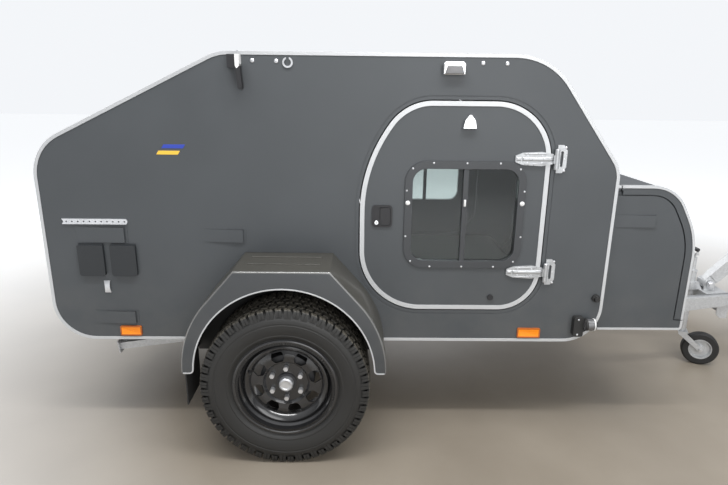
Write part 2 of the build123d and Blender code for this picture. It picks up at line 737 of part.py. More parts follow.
def rim():
    """Steel rim with a drop centre and a dished disc with windows and nut holes."""
    sheet = RIM_SHEET
    well_r = WELL_R
    barrel = [
        (0, BEAD_R),
        (0, RIM_FLANGE_R),
        (sheet, RIM_FLANGE_R),
        (sheet, BEAD_R),
        (30, BEAD_R),
        (52, well_r + sheet),
        (112, well_r + sheet),
        (150, BEAD_R),
        (RIM_WIDTH - sheet, BEAD_R),
        (RIM_WIDTH - sheet, RIM_FLANGE_R),
        (RIM_WIDTH, RIM_FLANGE_R),
        (RIM_WIDTH, BEAD_R - sheet),
        (152, BEAD_R - sheet),
        (114, well_r),
        (50, well_r),
        (28, BEAD_R - sheet),
        (0, BEAD_R - sheet),
    ]
    dish = [
        (DISC_SETBACK, DISC_BORE_R),
        (DISC_SETBACK, 90),
        (DISC_SETBACK + 4 - DISH_RISE, 100),
        (DISC_SETBACK - DISH_RISE, 130),
        (DISC_SETBACK + 6 - DISH_RISE, 152),
        (DISC_SETBACK + 28 - DISH_RISE, 170),
        (DISC_SETBACK + 46 - DISH_RISE, well_r + sheet / 2),
        (DISC_SETBACK + 52 - DISH_RISE, well_r + sheet / 2),
        (DISC_SETBACK + 34 - DISH_RISE, 165),
        (DISC_SETBACK + 12 - DISH_RISE, 146),
        (DISC_SETBACK + 6 - DISH_RISE, 128),
        (DISC_SETBACK + 10 - DISH_RISE, 104),
        (DISC_SETBACK + 6, 92),
        (DISC_SETBACK + 6, DISC_BORE_R),
    ]
    wheel = wheel_turn(barrel) + wheel_turn(dish)
    window = outline(WINDOW_CORNERS)
    hub = Pos(0, HUB_Z)
    holes = Sketch()
    for index in range(DISC_WINDOWS):
        turn = WINDOW_TURN - 90 + index * 360 / DISC_WINDOWS
        holes += hub * Rot(0, 0, turn) * window
    for index in range(NUT_COUNT):
        angle = radians(90 + index * 360 / NUT_COUNT)
        holes += hub * Pos(NUT_PCD / 2 * cos(angle), NUT_PCD / 2 * sin(angle)) * Circle(NUT_HOLE_R)
    return wheel - plate(holes, -RIM_OUTER_Y, -RIM_OUTER_Y + DISC_SETBACK + 30)


def hub():
    """Brake drum, spigot, cap and wheel nuts, which turn with the wheel."""
    face = DISC_SETBACK + 6 + SEAT
    drum = wheel_turn(
        [
            (face, 0),
            (face, 88),
            (face + 12, DRUM_R),
            (face + DRUM_BACK - 14, DRUM_R),
            (face + DRUM_BACK - 14, 60),
            (face + DRUM_BACK, 60),
            (face + DRUM_BACK, 0),
        ]
    )
    drum += wheel_turn([(face, 0), (face, 41.7), (DISC_SETBACK - 6, 41.7), (DISC_SETBACK - 6, 0)])
    cap_root = DISC_SETBACK - 6
    cap_end = cap_root - HUB_CAP_LENGTH
    cap = [
        (cap_root, 0),
        (cap_root, HUB_CAP_R + 1),
        (cap_end + 5, HUB_CAP_R),
        (cap_end, HUB_CAP_R - 5),
        (cap_end, HUB_CAP_R - 10),
        (cap_end + 3, HUB_CAP_R - 13),
        (cap_end + 3, 0),
    ]
    drum += wheel_turn(cap)
    nuts = []
    for index in range(NUT_COUNT):
        angle = radians(90 + index * 360 / NUT_COUNT)
        spot = Pos(NUT_PCD / 2 * cos(angle), HUB_Z + NUT_PCD / 2 * sin(angle))
        outer = DISC_SETBACK - RIM_OUTER_Y
        nut = plate(spot * RegularPolygon(NUT_ACROSS_R, 6), outer - NUT_HEIGHT, outer - SEAT)
        drum += nut + plate(spot * Circle(STUD_R), outer - SEAT, outer + face - DISC_SETBACK + 2)
    bore_end = face + DRUM_BACK - RIM_OUTER_Y
    bore_r = SPINDLE_R + HINGE_RUN_CLEARANCE
    return drum - disc(0, HUB_Z, bore_r, bore_end - SPINDLE_LENGTH - 2, bore_end + 1)


def fender_face(foot_z):
    """Side view of the fender's outer edge, down to a given height."""
    right = [
        Line((FENDER_FOOT_X, foot_z), (FENDER_FOOT_X, FENDER_FOOT_Z)),
        ThreePointArc(
            (FENDER_FOOT_X, FENDER_FOOT_Z),
            (FENDER_SIDE_X, FENDER_SIDE_Z),
            (FENDER_KNEE_X, FENDER_KNEE_Z),
        ),
        Line((FENDER_KNEE_X, FENDER_KNEE_Z), (FENDER_TOP_HALF, FENDER_TOP_Z)),
    ]
    left = [mirror(edge, about=Plane.YZ) for edge in right]
    closing = [
        Line((FENDER_TOP_HALF, FENDER_TOP_Z), (-FENDER_TOP_HALF, FENDER_TOP_Z)),
        Line((-FENDER_FOOT_X, foot_z), (FENDER_FOOT_X, foot_z)),
    ]
    return make_face(Curve() + right + left + closing)


def arch_face(grow=0.0):
    """Wheel arch opening: a half circle with straight legs below it."""
    radius = ARCH_R + grow
    low = FENDER_FOOT_Z - 60
    return Pos(0, ARCH_Z) * Circle(radius) + rectangle(-radius, radius, low, ARCH_Z)


def arch_mouth():
    """Wheel arch with the space below the fender's feet, curled where the two meet."""
    below = rectangle(
        1 - FENDER_FOOT_X, FENDER_FOOT_X - 1, FENDER_FOOT_Z - 60, FENDER_FOOT_Z
    )
    mouth = arch_face() + below
    corners = [
        corner
        for corner in mouth.vertices()
        if abs(corner.Y - FENDER_FOOT_Z) < 1 and abs(abs(corner.X) - ARCH_R) < 1
    ]
    return fillet(corners, FOOT_CURL_R)


def fender():
    """Folded fender: outer face with its arch, and the sheet over the wheel."""
    keep = rectangle(-600, 600, FENDER_FOOT_Z, 1000)
    edge = fender_face(FENDER_FOOT_Z - 60)
    face = (edge & keep) - arch_mouth()
    band = (edge - grown(edge, -FENDER_SHEET)) & keep
    shell = plate(face, -FENDER_Y, FENDER_SHEET - FENDER_Y) + plate(band, -FENDER_Y, -SEAT_Y)
    for y in (100 - FENDER_Y, 200 - FENDER_Y):
        low, high = y - FENDER_PAD_WIDTH / 2, y + FENDER_PAD_WIDTH / 2
        reach = FENDER_PAD_LENGTH / 2
        shell += box_between(-reach, reach, low, high, FENDER_TOP_Z, FENDER_TOP_Z + FENDER_PAD_RISE)
    liner_y = -HALF - TRIM_PROUD - SEAT
    liner = fender_face(LINER_LOW_Z - 10) & rectangle(-600, 600, LINER_LOW_Z, 1000)
    return (shell - trim_zone()) + plate(liner, liner_y - LINER_SHEET, liner_y)


def fender_trim():
    """Pale edge strip round the wheel arch, curled outwards under both feet."""
    reach = FENDER_FOOT_X - FENDER_SHEET - 3
    keep = rectangle(-reach, reach, FENDER_FOOT_Z - 4, 1000)
    mouth = arch_mouth()
    front = (grown(mouth, 3) - grown(mouth, -3)) & keep
    inner = (grown(mouth, -SEAT) - grown(mouth, -3)) & keep
    face_y = -FENDER_Y - SEAT
    return plate(front, face_y - 2, face_y) + plate(inner, face_y, FENDER_SHEET + 1 - SEAT - FENDER_Y)


def mud_flap():
    """Rubber flap behind the wheel, clamped inside the fender's rear foot."""
    rear = -(FENDER_FOOT_X - FENDER_SHEET - 8) + SEAT
    y0 = FENDER_SHEET + 1 - FENDER_Y
    return box_between(rear, rear + FLAP_THICK, y0, y0 + FLAP_WIDTH, FLAP_LOW_Z, FENDER_FOOT_Z + 36)


def flap_clamp():
    """Strip that fills the gap between the fender's foot and the flap."""
    rear = -(FENDER_FOOT_X - FENDER_SHEET - 8)
    inside = grown(fender_face(FENDER_FOOT_Z - 60), -FENDER_SHEET)
    strip = inside & rectangle(rear - 20, rear, FENDER_FOOT_Z + 6, FENDER_FOOT_Z + 28)
    y0 = FENDER_SHEET + 1 - FENDER_Y
    return plate(strip, y0, y0 + FLAP_WIDTH)


def leg_strip(near, far, z_low, z_high):
    """Strip along the right drawbar leg, between two distances in from its outer face."""
    points = [
        (LEG_REAR_X, near - LEG_REAR_Y),
        (LEG_FRONT_X, near - LEG_FRONT_Y),
        (LEG_FRONT_X, far - LEG_FRONT_Y),
        (LEG_REAR_X, far - LEG_REAR_Y),
    ]
    return slab(make_face(Polyline(*points, close=True)), z_low, z_high)


def leg_y(x):
    """Distance of the leg's outer face from the centreline at x."""
    share = (x - LEG_REAR_X) / (LEG_FRONT_X - LEG_REAR_X)
    return LEG_REAR_Y + share * (LEG_FRONT_Y - LEG_REAR_Y)


def leg_low(x):
    """Height of the leg's underside at x, which rises to the drawbar head."""
    share = (x - LEG_TAPER_X) / (LEG_FRONT_X - LEG_TAPER_X)
    return RAIL_LOW + LEG_TAPER * max(share, 0.0)


def leg_side(inset=0.0):
    """Side view of a drawbar leg, or of the space between its flanges."""
    reach = 10 * inset
    points = [
        (LEG_REAR_X - reach, RAIL_LOW + inset),
        (LEG_TAPER_X, RAIL_LOW + inset),
        (LEG_FRONT_X, leg_low(LEG_FRONT_X) + inset),
        (LEG_FRONT_X + reach, leg_low(LEG_FRONT_X) + inset),
        (LEG_FRONT_X + reach, RAIL_TOP - inset),
        (LEG_REAR_X - reach, RAIL_TOP - inset),
    ]
    if not inset:
        del points[3]
    return make_face(Polyline(*points, close=True))


def drawbar_leg():
    """Right channel leg: web outside and two flanges, with the oval slot near its end."""
    web = leg_strip(0, RAIL_SHEET, RAIL_LOW, RAIL_TOP)
    channel = leg_strip(0, RAIL_FLANGE, RAIL_LOW, RAIL_TOP)
    whole = plate(leg_side(), -LEG_REAR_Y - 1, 0)
    core = plate(leg_side(RAIL_SHEET), -LEG_REAR_Y - 1, 0)
    leg = (web & whole) + ((channel & whole) - core)
    middle = (leg_low(OVAL_X) + RAIL_TOP) / 2
    half_length, half_height = OVAL_LENGTH / 2, OVAL_HEIGHT / 2
    slot = rounded(
        OVAL_X - half_length,
        OVAL_X + half_length,
        middle - half_height,
        middle + half_height,
        half_height - 0.1,
    )
    return leg - plate(slot, -LEG_REAR_Y, 0)


def chassis_frame():
    """Welded chassis: two channel legs to the drawbar head, cross rails and tail rails."""
    sheet = RAIL_SHEET
    leg = drawbar_leg()
    legs = leg + mirror(leg, about=Plane.XZ)
    rails = Part()
    for x in (LEG_REAR_X, 760.0):
        reach = leg_y(x) - sheet / 2
        rails += box_between(x, x + 50, -reach, reach, RAIL_TOP - 60, RAIL_TOP)
    for y in (-TAIL_RAIL_Y, TAIL_RAIL_Y):
        rails += box_between(TAIL_RAIL_X, LEG_REAR_X, y - 20, y + 20, RAIL_TOP - 60, RAIL_TOP)
    rails += box_between(TAIL_RAIL_X - 40, TAIL_RAIL_X, -600, 600, RAIL_TOP - 60, RAIL_TOP)
    head = drawbar_head_box()
    for x in BEARER_XS:
        reach = leg_y(x) + 60
        top = RAIL_TOP + BEARER_HEIGHT - SEAT
        bearer = box_between(x, x + BEARER_ACROSS, -reach, reach, RAIL_TOP, top)
        core = box_between(
            x + sheet, x + BEARER_ACROSS - sheet, -reach, reach, RAIL_TOP + sheet, top - sheet
        )
        rails += bearer - core
    return Compound(children=[*legs.solids(), *(rails - legs).solids(), *(head - legs).solids()])


def drawbar_head_box():
    """Box of four plates that joins the two legs at their front ends."""
    reach = leg_y(HEAD_REAR_X) - RAIL_SHEET / 2
    head_points = [
        (HEAD_REAR_X, -reach),
        (LEG_FRONT_X, -LEG_FRONT_Y + RAIL_SHEET / 2),
        (LEG_FRONT_X, LEG_FRONT_Y - RAIL_SHEET / 2),
        (HEAD_REAR_X, reach),
    ]
    outline = make_face(Polyline(*head_points, close=True))
    head_low = leg_low(LEG_FRONT_X)
    head = slab(outline, RAIL_TOP - HEAD_SHEET, RAIL_TOP)
    head += slab(outline, head_low, head_low + HEAD_SHEET)
    for x in (HEAD_REAR_X, LEG_FRONT_X - HEAD_SHEET):
        reach = leg_y(x) - RAIL_SHEET / 2
        head += box_between(x, x + HEAD_SHEET, -reach, reach, head_low, RAIL_TOP)
    return head


def axle_beam():
    """Rubber-sprung axle tube with its swing arms, stubs and brake back plates."""
    tube_z = RAIL_LOW - AXLE_TUBE_ACROSS / 2
    across_face = Pos(AXLE_TUBE_X, tube_z) * Rot(0, 0, 22.5) * RegularPolygon(
        AXLE_TUBE_ACROSS / 2, 8, major_radius=False
    )
    arm_out = HALF + 16
    arm_in = arm_out - SWING_ARM_THICK
    beam = plate(across_face, -arm_in + 6, arm_in - 6)
    back_y = DISC_SETBACK + 6 + DRUM_BACK + 6 - RIM_OUTER_Y
    arm_face = make_hull(
        [
            *(Pos(AXLE_TUBE_X, tube_z) * Circle(44)).edges(),
            *(Pos(0, HUB_Z) * Circle(36)).edges(),
        ]
    )
    side = plate(arm_face, -arm_out, -arm_in)
    side += disc(AXLE_TUBE_X, tube_z, 30, -arm_in, -arm_in + 8)
    side += disc(0, HUB_Z, 26, back_y, -arm_out)
    side += disc(0, HUB_Z, SPINDLE_R, back_y - SPINDLE_LENGTH, back_y)
    side += disc(0, HUB_Z, 112, back_y, back_y + 4)
    return beam + side + mirror(side, about=Plane.XZ)


def front_box_tub():
    """Fixed part of the front box: floor, back, side walls and the lower skirt."""
    wall_out = BOX_HALF - BOX_RIM_SHEET - PANEL_GAP
    inner = grown(box_face, -(BOX_SKIN + PANEL_GAP))
    tub_x0 = BOX_REAR_X
    floor_top = BOX_FLOOR_Z + 26
    wall = 18.0
    side_face = inner & rectangle(tub_x0, BOX_FRONT_X, floor_top, BOX_TOP_Z)
    tub = plate(side_face, -wall_out, wall - wall_out)
    tub += plate(side_face, wall_out - wall, wall_out)
    floor_face = box_face & rectangle(tub_x0, BOX_FRONT_X, BOX_FLOOR_Z, floor_top)
    tub += plate(floor_face, -BOX_HALF, BOX_HALF)
    back = rectangle(tub_x0, tub_x0 + wall, floor_top, BOX_TOP_Z - BOX_SKIN - PANEL_GAP)
    rail = rectangle(tub_x0, tub_x0 + BOX_LID_SETBACK - PANEL_GAP, BOX_TOP_Z - BOX_SKIN, BOX_TOP_Z)
    tub += plate(back, -BOX_HALF, BOX_HALF) + plate(rail, -BOX_HALF, BOX_HALF)
    tub += plate(rectangle(tub_x0, tub_x0 + wall, BOX_TOP_Z - 60, BOX_TOP_Z), -BOX_HALF, BOX_HALF)
    sill = box_face & rectangle(BOX_FRONT_X - BOX_SKIN, BOX_FRONT_X, BOX_FLOOR_Z, BOX_LID_SILL_Z)
    tub += plate(sill, -BOX_HALF, BOX_HALF)
    skirt = rectangle(tub_x0, BOX_FRONT_X - BOX_SKIN, floor_top, BOX_LID_SILL_Z)
    for y in (-BOX_HALF, wall_out):
        tub += plate(skirt, y, y + BOX_RIM_SHEET + PANEL_GAP)
    flush = grown(box_face, -(BOX_RIM + PANEL_GAP)) + rectangle(
        tub_x0, tub_x0 + BOX_RIM + 2 * PANEL_GAP, floor_top, BOX_TOP_Z - BOX_RIM - PANEL_GAP
    )
    flush = flush & rectangle(tub_x0, BOX_FRONT_X, floor_top, BOX_TOP_Z)
    for y in (-BOX_HALF, wall_out):
        tub += plate(flush, y, y + BOX_RIM_SHEET + PANEL_GAP)
    return tub


def front_box_lid():
    """Lid of the front box: top and front in one bent panel with side rims."""
    keep = rectangle(
        BOX_REAR_X + BOX_LID_SETBACK, BOX_FRONT_X + 10, BOX_LID_SILL_Z + PANEL_GAP, BOX_TOP_Z + 10
    )
    skin = (box_face - grown(box_face, -BOX_SKIN)) & keep
    rim_face = (box_face - grown(box_face, -BOX_RIM)) & keep
    side_keep = rectangle(BOX_REAR_X + BOX_RIM, BOX_FRONT_X + 10, BOX_LID_SILL_Z, BOX_TOP_Z + 10)
    low_keep = rectangle(BOX_FRONT_X - BOX_RIM - 20, BOX_FRONT_X + 10, BOX_LID_SILL_Z, BOX_TOP_Z)
    top_keep = rectangle(BOX_REAR_X, BOX_FRONT_X, BOX_BROW_Z - 100, BOX_TOP_Z + 10)
    rim_face = rim_face & side_keep & (low_keep + top_keep)
    lid = plate(skin, -BOX_HALF, BOX_HALF)
    for y in (-BOX_HALF, BOX_HALF - BOX_RIM_SHEET):
        lid += plate(rim_face, y, y + BOX_RIM_SHEET)
    return lid


def front_box_trim():
    """Bright edge profile along the lid's side edges."""
    rear = BOX_REAR_X + BOX_LID_SETBACK
    keep = rectangle(rear, BOX_FRONT_X + 10, BOX_LID_SILL_Z + PANEL_GAP, BOX_TOP_Z + 10)
    face = (grown(box_face, TRIM_LIP) - grown(box_face, -BOX_TRIM_FACE)) & keep
    lip = (grown(box_face, TRIM_LIP) - grown(box_face, SEAT)) & keep
    trim = plate(face, -BOX_HALF - TRIM_PROUD, -BOX_HALF - SEAT)
    return trim + plate(lip, -BOX_HALF - SEAT, 20 - BOX_HALF)


def front_box_head_trim():
    """Short bright edge profile on the fixed strip behind the lid."""
    keep = rectangle(BOX_REAR_X, BOX_REAR_X + BOX_LID_SETBACK - PANEL_GAP, BOX_TOP_Z - 100, BOX_TOP_Z + 10)
    face = (grown(box_face, TRIM_LIP) - grown(box_face, -BOX_TRIM_FACE)) & keep
    lip = (grown(box_face, TRIM_LIP) - grown(box_face, SEAT)) & keep
    trim = plate(face, -BOX_HALF - TRIM_PROUD, -BOX_HALF - SEAT)
    return trim + plate(lip, -BOX_HALF - SEAT, 20 - BOX_HALF)


def front_box_foot_trim():
    """Bright edge profile along the foot of the box and up its front to the lid."""
    foot = rectangle(BOX_REAR_X, BOX_FRONT_X + 10, BOX_FLOOR_Z - TRIM_LIP, BOX_FLOOR_Z + BOX_TRIM_FACE)
    front = rectangle(BOX_FRONT_X - 60, BOX_FRONT_X + 10, BOX_FLOOR_Z, BOX_LID_SILL_Z)
    keep = foot + front
    face = (grown(box_face, TRIM_LIP) - grown(box_face, -BOX_TRIM_FACE)) & keep
    lip = (grown(box_face, TRIM_LIP) - grown(box_face, SEAT)) & keep
    trim = plate(face, -BOX_HALF - TRIM_PROUD, -BOX_HALF - SEAT)
    return trim + plate(lip, -BOX_HALF - SEAT, 20 - BOX_HALF)


def toothed_ring(x, z, y_low, y_high):
    """Ring of locking teeth round a pin, with a notch between each two."""
    face = Pos(x, z) * Circle(TOOTH_DISC_R)
    pitch = 360 / TEETH
    notch = make_face(
        Polyline(
            (TOOTH_DISC_R - TOOTH_DEPTH, 0),
            (TOOTH_DISC_R + 1, TOOTH_DEPTH),
            (TOOTH_DISC_R + 1, -TOOTH_DEPTH),
            close=True,
        )
    )
    notches = Sketch() + [Pos(x, z) * Rot(0, 0, index * pitch) * notch for index in range(TEETH)]
    return plate(face - notches, y_low, y_high)


def ear_pair(x, z, blade):
    """Two ears on a pin, each a plate with a toothed ring on its inner face."""
    inner = ARM_WIDTH / 2 + EAR_GAP
    outer = inner + EAR_THICK
    ring_end = inner + TOOTH_RING_THICK
    blade = blade + Pos(x, z) * Circle(TOOTH_DISC_R - TOOTH_DEPTH)
    ears = plate(blade, ring_end, outer) + toothed_ring(x, z, inner, ring_end)
    ears += mirror(ears, about=Plane.XZ)
    return ears + disc(x, z, ARM_PIN_R, -outer - 10, outer + 10)


def drawbar_ears():
    """Two toothed ears on the drawbar head, with the lower pin of the arm."""
    reach = TOOTH_DISC_R - TOOTH_DEPTH
    blade = rectangle(ARM_PIVOT_X - reach, ARM_PIVOT_X + reach, RAIL_TOP + SEAT, ARM_PIVOT_Z)
    return ear_pair(ARM_PIVOT_X, ARM_PIVOT_Z, blade)


def hanging_bracket():
    """Two plates under the drawbar head that carry the brake linkage."""
    x0, x1 = OVAL_X - 22, OVAL_X + 46
    low = RAIL_LOW - 65
    points = [
        (x0, leg_low(x0) - SEAT),
        (x0 + 4, low + 24),
        (x0 + 26, low),
        (x1, low),
        (x1, leg_low(x1) - SEAT),
    ]
    face = make_face(Polyline(*points, close=True))
    plates = plate(face, -LEG_FRONT_Y + 12, -LEG_FRONT_Y + 17)
    plates += plate(face, LEG_FRONT_Y - 17, LEG_FRONT_Y - 12)
    return plates + disc(x1 - 24, low + 28, 7, -LEG_FRONT_Y + 12, LEG_FRONT_Y - 12)


def tow_arm():
    """Rising arm between the two pins: a channel open below, a toothed boss at each end."""
    half = ARM_WIDTH / 2
    boss_r = TOOTH_DISC_R - TOOTH_DEPTH
    pins = ((ARM_PIVOT_X, ARM_PIVOT_Z), (UPPER_PIVOT_X, UPPER_PIVOT_Z))
    middle = Pos(ARM_PIVOT_X, ARM_PIVOT_Z) * Rot(0, 0, ARM_RISE) * Pos(ARM_LENGTH / 2, 0)
    bosses = [edge for x, z in pins for edge in (Pos(x, z) * Circle(boss_r)).edges()]
    deep = middle * Rectangle(ARM_LENGTH - 2 * ARM_END, ARM_DEPTH)
    side = make_hull([*bosses, *deep.edges()])
    between = middle * Rectangle(ARM_LENGTH - 2 * TOOTH_DISC_R - 10, ARM_DEPTH)
    hollow = middle * Pos(0, -ARM_WEB_DROP) * Rectangle(ARM_LENGTH - 2 * ARM_END, ARM_DEPTH)
    arm = plate(side, TOOTH_RING_THICK - half, half - TOOTH_RING_THICK)
    arm += plate(side & between, -half, half)
    arm -= plate(hollow, ARM_SHEET - half, half - ARM_SHEET)
    for x, z in pins:
        arm += toothed_ring(x, z, -half, half)
        arm -= disc(x, z, ARM_PIN_R + HINGE_RUN_CLEARANCE, -half - 1, half + 1)
    return arm


def overrun_housing():
    """Overrun unit: toothed ears on the upper pin and the tube that guides the drawtube."""
    outer = ARM_WIDTH / 2 + EAR_GAP + EAR_THICK
    low, high = UPPER_PIVOT_Z - OVERRUN_HALF_HEIGHT, UPPER_PIVOT_Z + OVERRUN_HALF_HEIGHT
    reach = TOOTH_DISC_R - TOOTH_DEPTH
    blade = make_face(
        Polyline(
            (UPPER_PIVOT_X, UPPER_PIVOT_Z - reach),
            (UPPER_PIVOT_X + 70, low),
            (UPPER_PIVOT_X + 70, high),
            (UPPER_PIVOT_X, UPPER_PIVOT_Z + reach),
            close=True,
        )
    )
    unit = ear_pair(UPPER_PIVOT_X, UPPER_PIVOT_Z, blade)
    front = UPPER_PIVOT_X + OVERRUN_LENGTH
    body = plate(rectangle(UPPER_PIVOT_X + 60, front, low, high), -outer, outer)
    body = fillet(body.edges().filter_by(Axis.X), OVERRUN_CORNER_R)
    collar = plate(rectangle(front - 26, front, low - 4, high + 4), -outer - 4, outer + 4)
    return unit + body + fillet(collar.edges().filter_by(Axis.X), OVERRUN_CORNER_R)


def coupling_head():
    """Drawtube, bellows and coupling head: a neck that widens into the bell over the ball."""
    front = UPPER_PIVOT_X + OVERRUN_LENGTH
    axis = Axis((0, 0, HEAD_Z), (1, 0, 0))
    valley = BELLOWS_R - 8
    points = [(front, 0), (front, BELLOWS_R)]
    for index in range(BELLOWS_RIDGES):
        points.append((front + BELLOWS_PITCH * (index + 0.5), valley))
        points.append((front + BELLOWS_PITCH * (index + 1), BELLOWS_R))
    bellows_end = front + BELLOWS_PITCH * BELLOWS_RIDGES
    points += [(bellows_end, DRAWTUBE_R), (BALL_X - 60, DRAWTUBE_R), (BALL_X - 60, 0)]
    section = make_face(Polyline(*[(x, HEAD_Z + r) for x, r in points], close=True))
    tube = revolve(Plane.XZ * section, axis=axis)
    low, high = HEAD_Z - 28, HEAD_Z + 26
    shell = make_hull(
        [
            *(Pos(BALL_X, 0) * Circle(HEAD_NOSE)).edges(),
            *(Pos(BALL_X - 82, 0) * Rectangle(20, 56)).edges(),
        ]
    )
    head = slab(shell, low, high)
    head = chamfer(head.faces().sort_by(Axis.Z)[-1].edges(), HEAD_BEVEL)
    socket = Pos(BALL_X, 0, HEAD_Z - 20) * Sphere(BALL_SOCKET_R)
    throat = Pos(BALL_X, 0, HEAD_Z - 40) * Cylinder(BALL_SOCKET_R, 40)
    return tube + head - socket - throat


def coupling_levers():
    """Grip of the coupling head and the parking brake lever with its pivot ears."""
    low = HEAD_Z + 26 + SEAT
    grip_face = outline(
        [
            Corner(BALL_X - 76, low, 0),
            Corner(BALL_X - 30, low, 0),
            Corner(BALL_X - 26, low + 16, 6),
            Corner(BALL_X + 30, low + 30, 5),
            Corner(BALL_X + 24, low + 42, 5),
            Corner(BALL_X - 70, low + 24, 10),
        ]
    )
    grip = plate(grip_face, -GRIP_HALF, GRIP_HALF)
    base_x = UPPER_PIVOT_X + OVERRUN_LENGTH - 60
    y0 = -(ARM_WIDTH / 2 + EAR_GAP + EAR_THICK)
    blade = Pos(LEVER_LENGTH / 2, 0) * RectangleRounded(LEVER_LENGTH, 24, 10)
    lever_face = Pos(base_x, UPPER_PIVOT_Z) * (Circle(34) + Rot(0, 0, LEVER_LEAN) * blade)
    return grip, plate(lever_face, y0 - 10, y0 - SEAT)


def jockey_tube():
    """Outer tube of the jockey wheel with its clamp to the drawbar head."""
    z0, z1 = JOCKEY_TUBE_LOW_Z, JOCKEY_TUBE_TOP_Z
    place = Pos(JOCKEY_X, 0, (z0 + z1) / 2)
    tube = place * Cylinder(JOCKEY_TUBE_R, z1 - z0) - place * Cylinder(JOCKEY_BORE_R, z1 - z0)
    cap = Pos(JOCKEY_X, 0, z1 + 6) * Cylinder(JOCKEY_TUBE_R + 2, 12)
    rise = JOCKEY_SLEEVE_TOP_Z - z1
    return tube + cap + Pos(JOCKEY_X, 0, z1 + rise / 2) * Cylinder(JOCKEY_SLEEVE_R, rise)


def jockey_crank():
    """Crank on top of the jockey wheel's tube, folded down with its grip to the right."""
    z1 = JOCKEY_SLEEVE_TOP_Z
    shaft = Pos(JOCKEY_X, 0, z1 + 9) * Cylinder(7, 18)
    near = 6 - CRANK_REACH
    arm = box_between(JOCKEY_X - 9, JOCKEY_X + 9, -CRANK_REACH, 9, z1 + 18, z1 + 24)
    stem = box_between(JOCKEY_X - 6, JOCKEY_X + 6, -CRANK_REACH, near, z1 + 18, z1 + 38)
    return shaft + arm + stem


def jockey_grip():
    """Turning grip of the crank."""
    height = JOCKEY_SLEEVE_TOP_Z + 38 + GRIP_R + SEAT
    place = Pos(JOCKEY_X, 0, height) * Rot(90, 0, 0)
    return chamfer((place * Cylinder(GRIP_R, GRIP_LENGTH)).edges(), 3)


def jockey_clamp():
    """Split collar that holds the tube, on a bracket from the drawbar head."""
    z0, z1 = RAIL_TOP + SEAT, RAIL_TOP + SEAT + CLAMP_HEIGHT
    middle = (z0 + z1) / 2
    collar = Pos(JOCKEY_X, 0, middle) * Cylinder(JOCKEY_TUBE_R + CLAMP_WALL, CLAMP_HEIGHT)
    front = ARM_PIVOT_X - TOOTH_DISC_R - PANEL_GAP
    side = make_face(
        Polyline(
            (JOCKEY_X, z0),
            (front, z0),
            (front, z0 + CLAMP_WALL),
            (JOCKEY_X + JOCKEY_TUBE_R + CLAMP_WALL, z1),
            (JOCKEY_X, z1),
            close=True,
        )
    )
    bridge = plate(side, -CLAMP_HALF, CLAMP_HALF)
    bore = Pos(JOCKEY_X, 0, middle) * Cylinder(JOCKEY_TUBE_R + SEAT, CLAMP_HEIGHT)
    return collar + bridge - bore


def jockey_leg():
    """Inner tube that slides in the outer one and carries the swivel pin's bore."""
    top = JOCKEY_TUBE_TOP_Z - JOCKEY_TRAVEL - 10
    low = FORK_TOP_Z + 6
    place = Pos(JOCKEY_X, 0, (top + low) / 2)
    leg = place * Cylinder(JOCKEY_LEG_R, top - low)
    bore = Pos(JOCKEY_X, 0, low + 30) * Cylinder(8.1, 61)
    return leg - bore


def jockey_fork():
    """Swivelling fork: pin, head plate and one raked blade each side of the wheel."""
    blade_in = JOCKEY_WHEEL_WIDTH / 2 + 6
    blade_out = blade_in + 5
    head = box_between(-22, 30, -blade_out, blade_out, FORK_TOP_Z - 8, FORK_TOP_Z)
    head += Pos(0, 0, FORK_TOP_Z + 2.85) * Cylinder(17, 5.7)
    head += Pos(0, 0, FORK_TOP_Z + 28) * Cylinder(8, 56)
    axle_z = JOCKEY_WHEEL_R
    blade_face = make_hull(
        [
            *(Pos(JOCKEY_TRAIL, axle_z) * Circle(13)).edges(),
            *(rectangle(-22, 12, FORK_TOP_Z - 14, FORK_TOP_Z)).edges(),
        ]
    )
    head += plate(blade_face, -blade_out, -blade_in) + plate(blade_face, blade_in, blade_out)
    head += disc(JOCKEY_TRAIL, axle_z, 8, -blade_out - 6, blade_out + 6)
    return Pos(JOCKEY_X, 0, 0) * Rot(0, 0, JOCKEY_SWIVEL) * head


def jockey_wheel():
    """Solid rubber wheel with a pressed steel centre, bored for its axle."""
    half = JOCKEY_WHEEL_WIDTH / 2
    r = JOCKEY_WHEEL_R
    axis = Axis((0, 0, 0), (0, 1, 0))

    def turned(points):
        """Turn a (across, radius) section about the wheel's own axis."""
        return revolve(Plane.YZ * make_face(Polyline(*points, close=True)), axis=axis)

    tyre_part = turned(
        [(-half, 62), (-half, r - 8), (-half + 8, r), (half - 8, r), (half, r - 8), (half, 62)]
    )
    centre = turned(
        [(-half, 62), (-half, 58), (-6, 52), (-6, 22), (-half - 4, 22), (-half - 4, 8.1),
         (half + 4, 8.1), (half + 4, 22), (6, 22), (6, 52), (half, 58), (half, 62)]
    )
    place = Pos(JOCKEY_X, 0, 0) * Rot(0, 0, JOCKEY_SWIVEL) * Pos(JOCKEY_TRAIL, 0, r)
    return place * tyre_part, place * centre


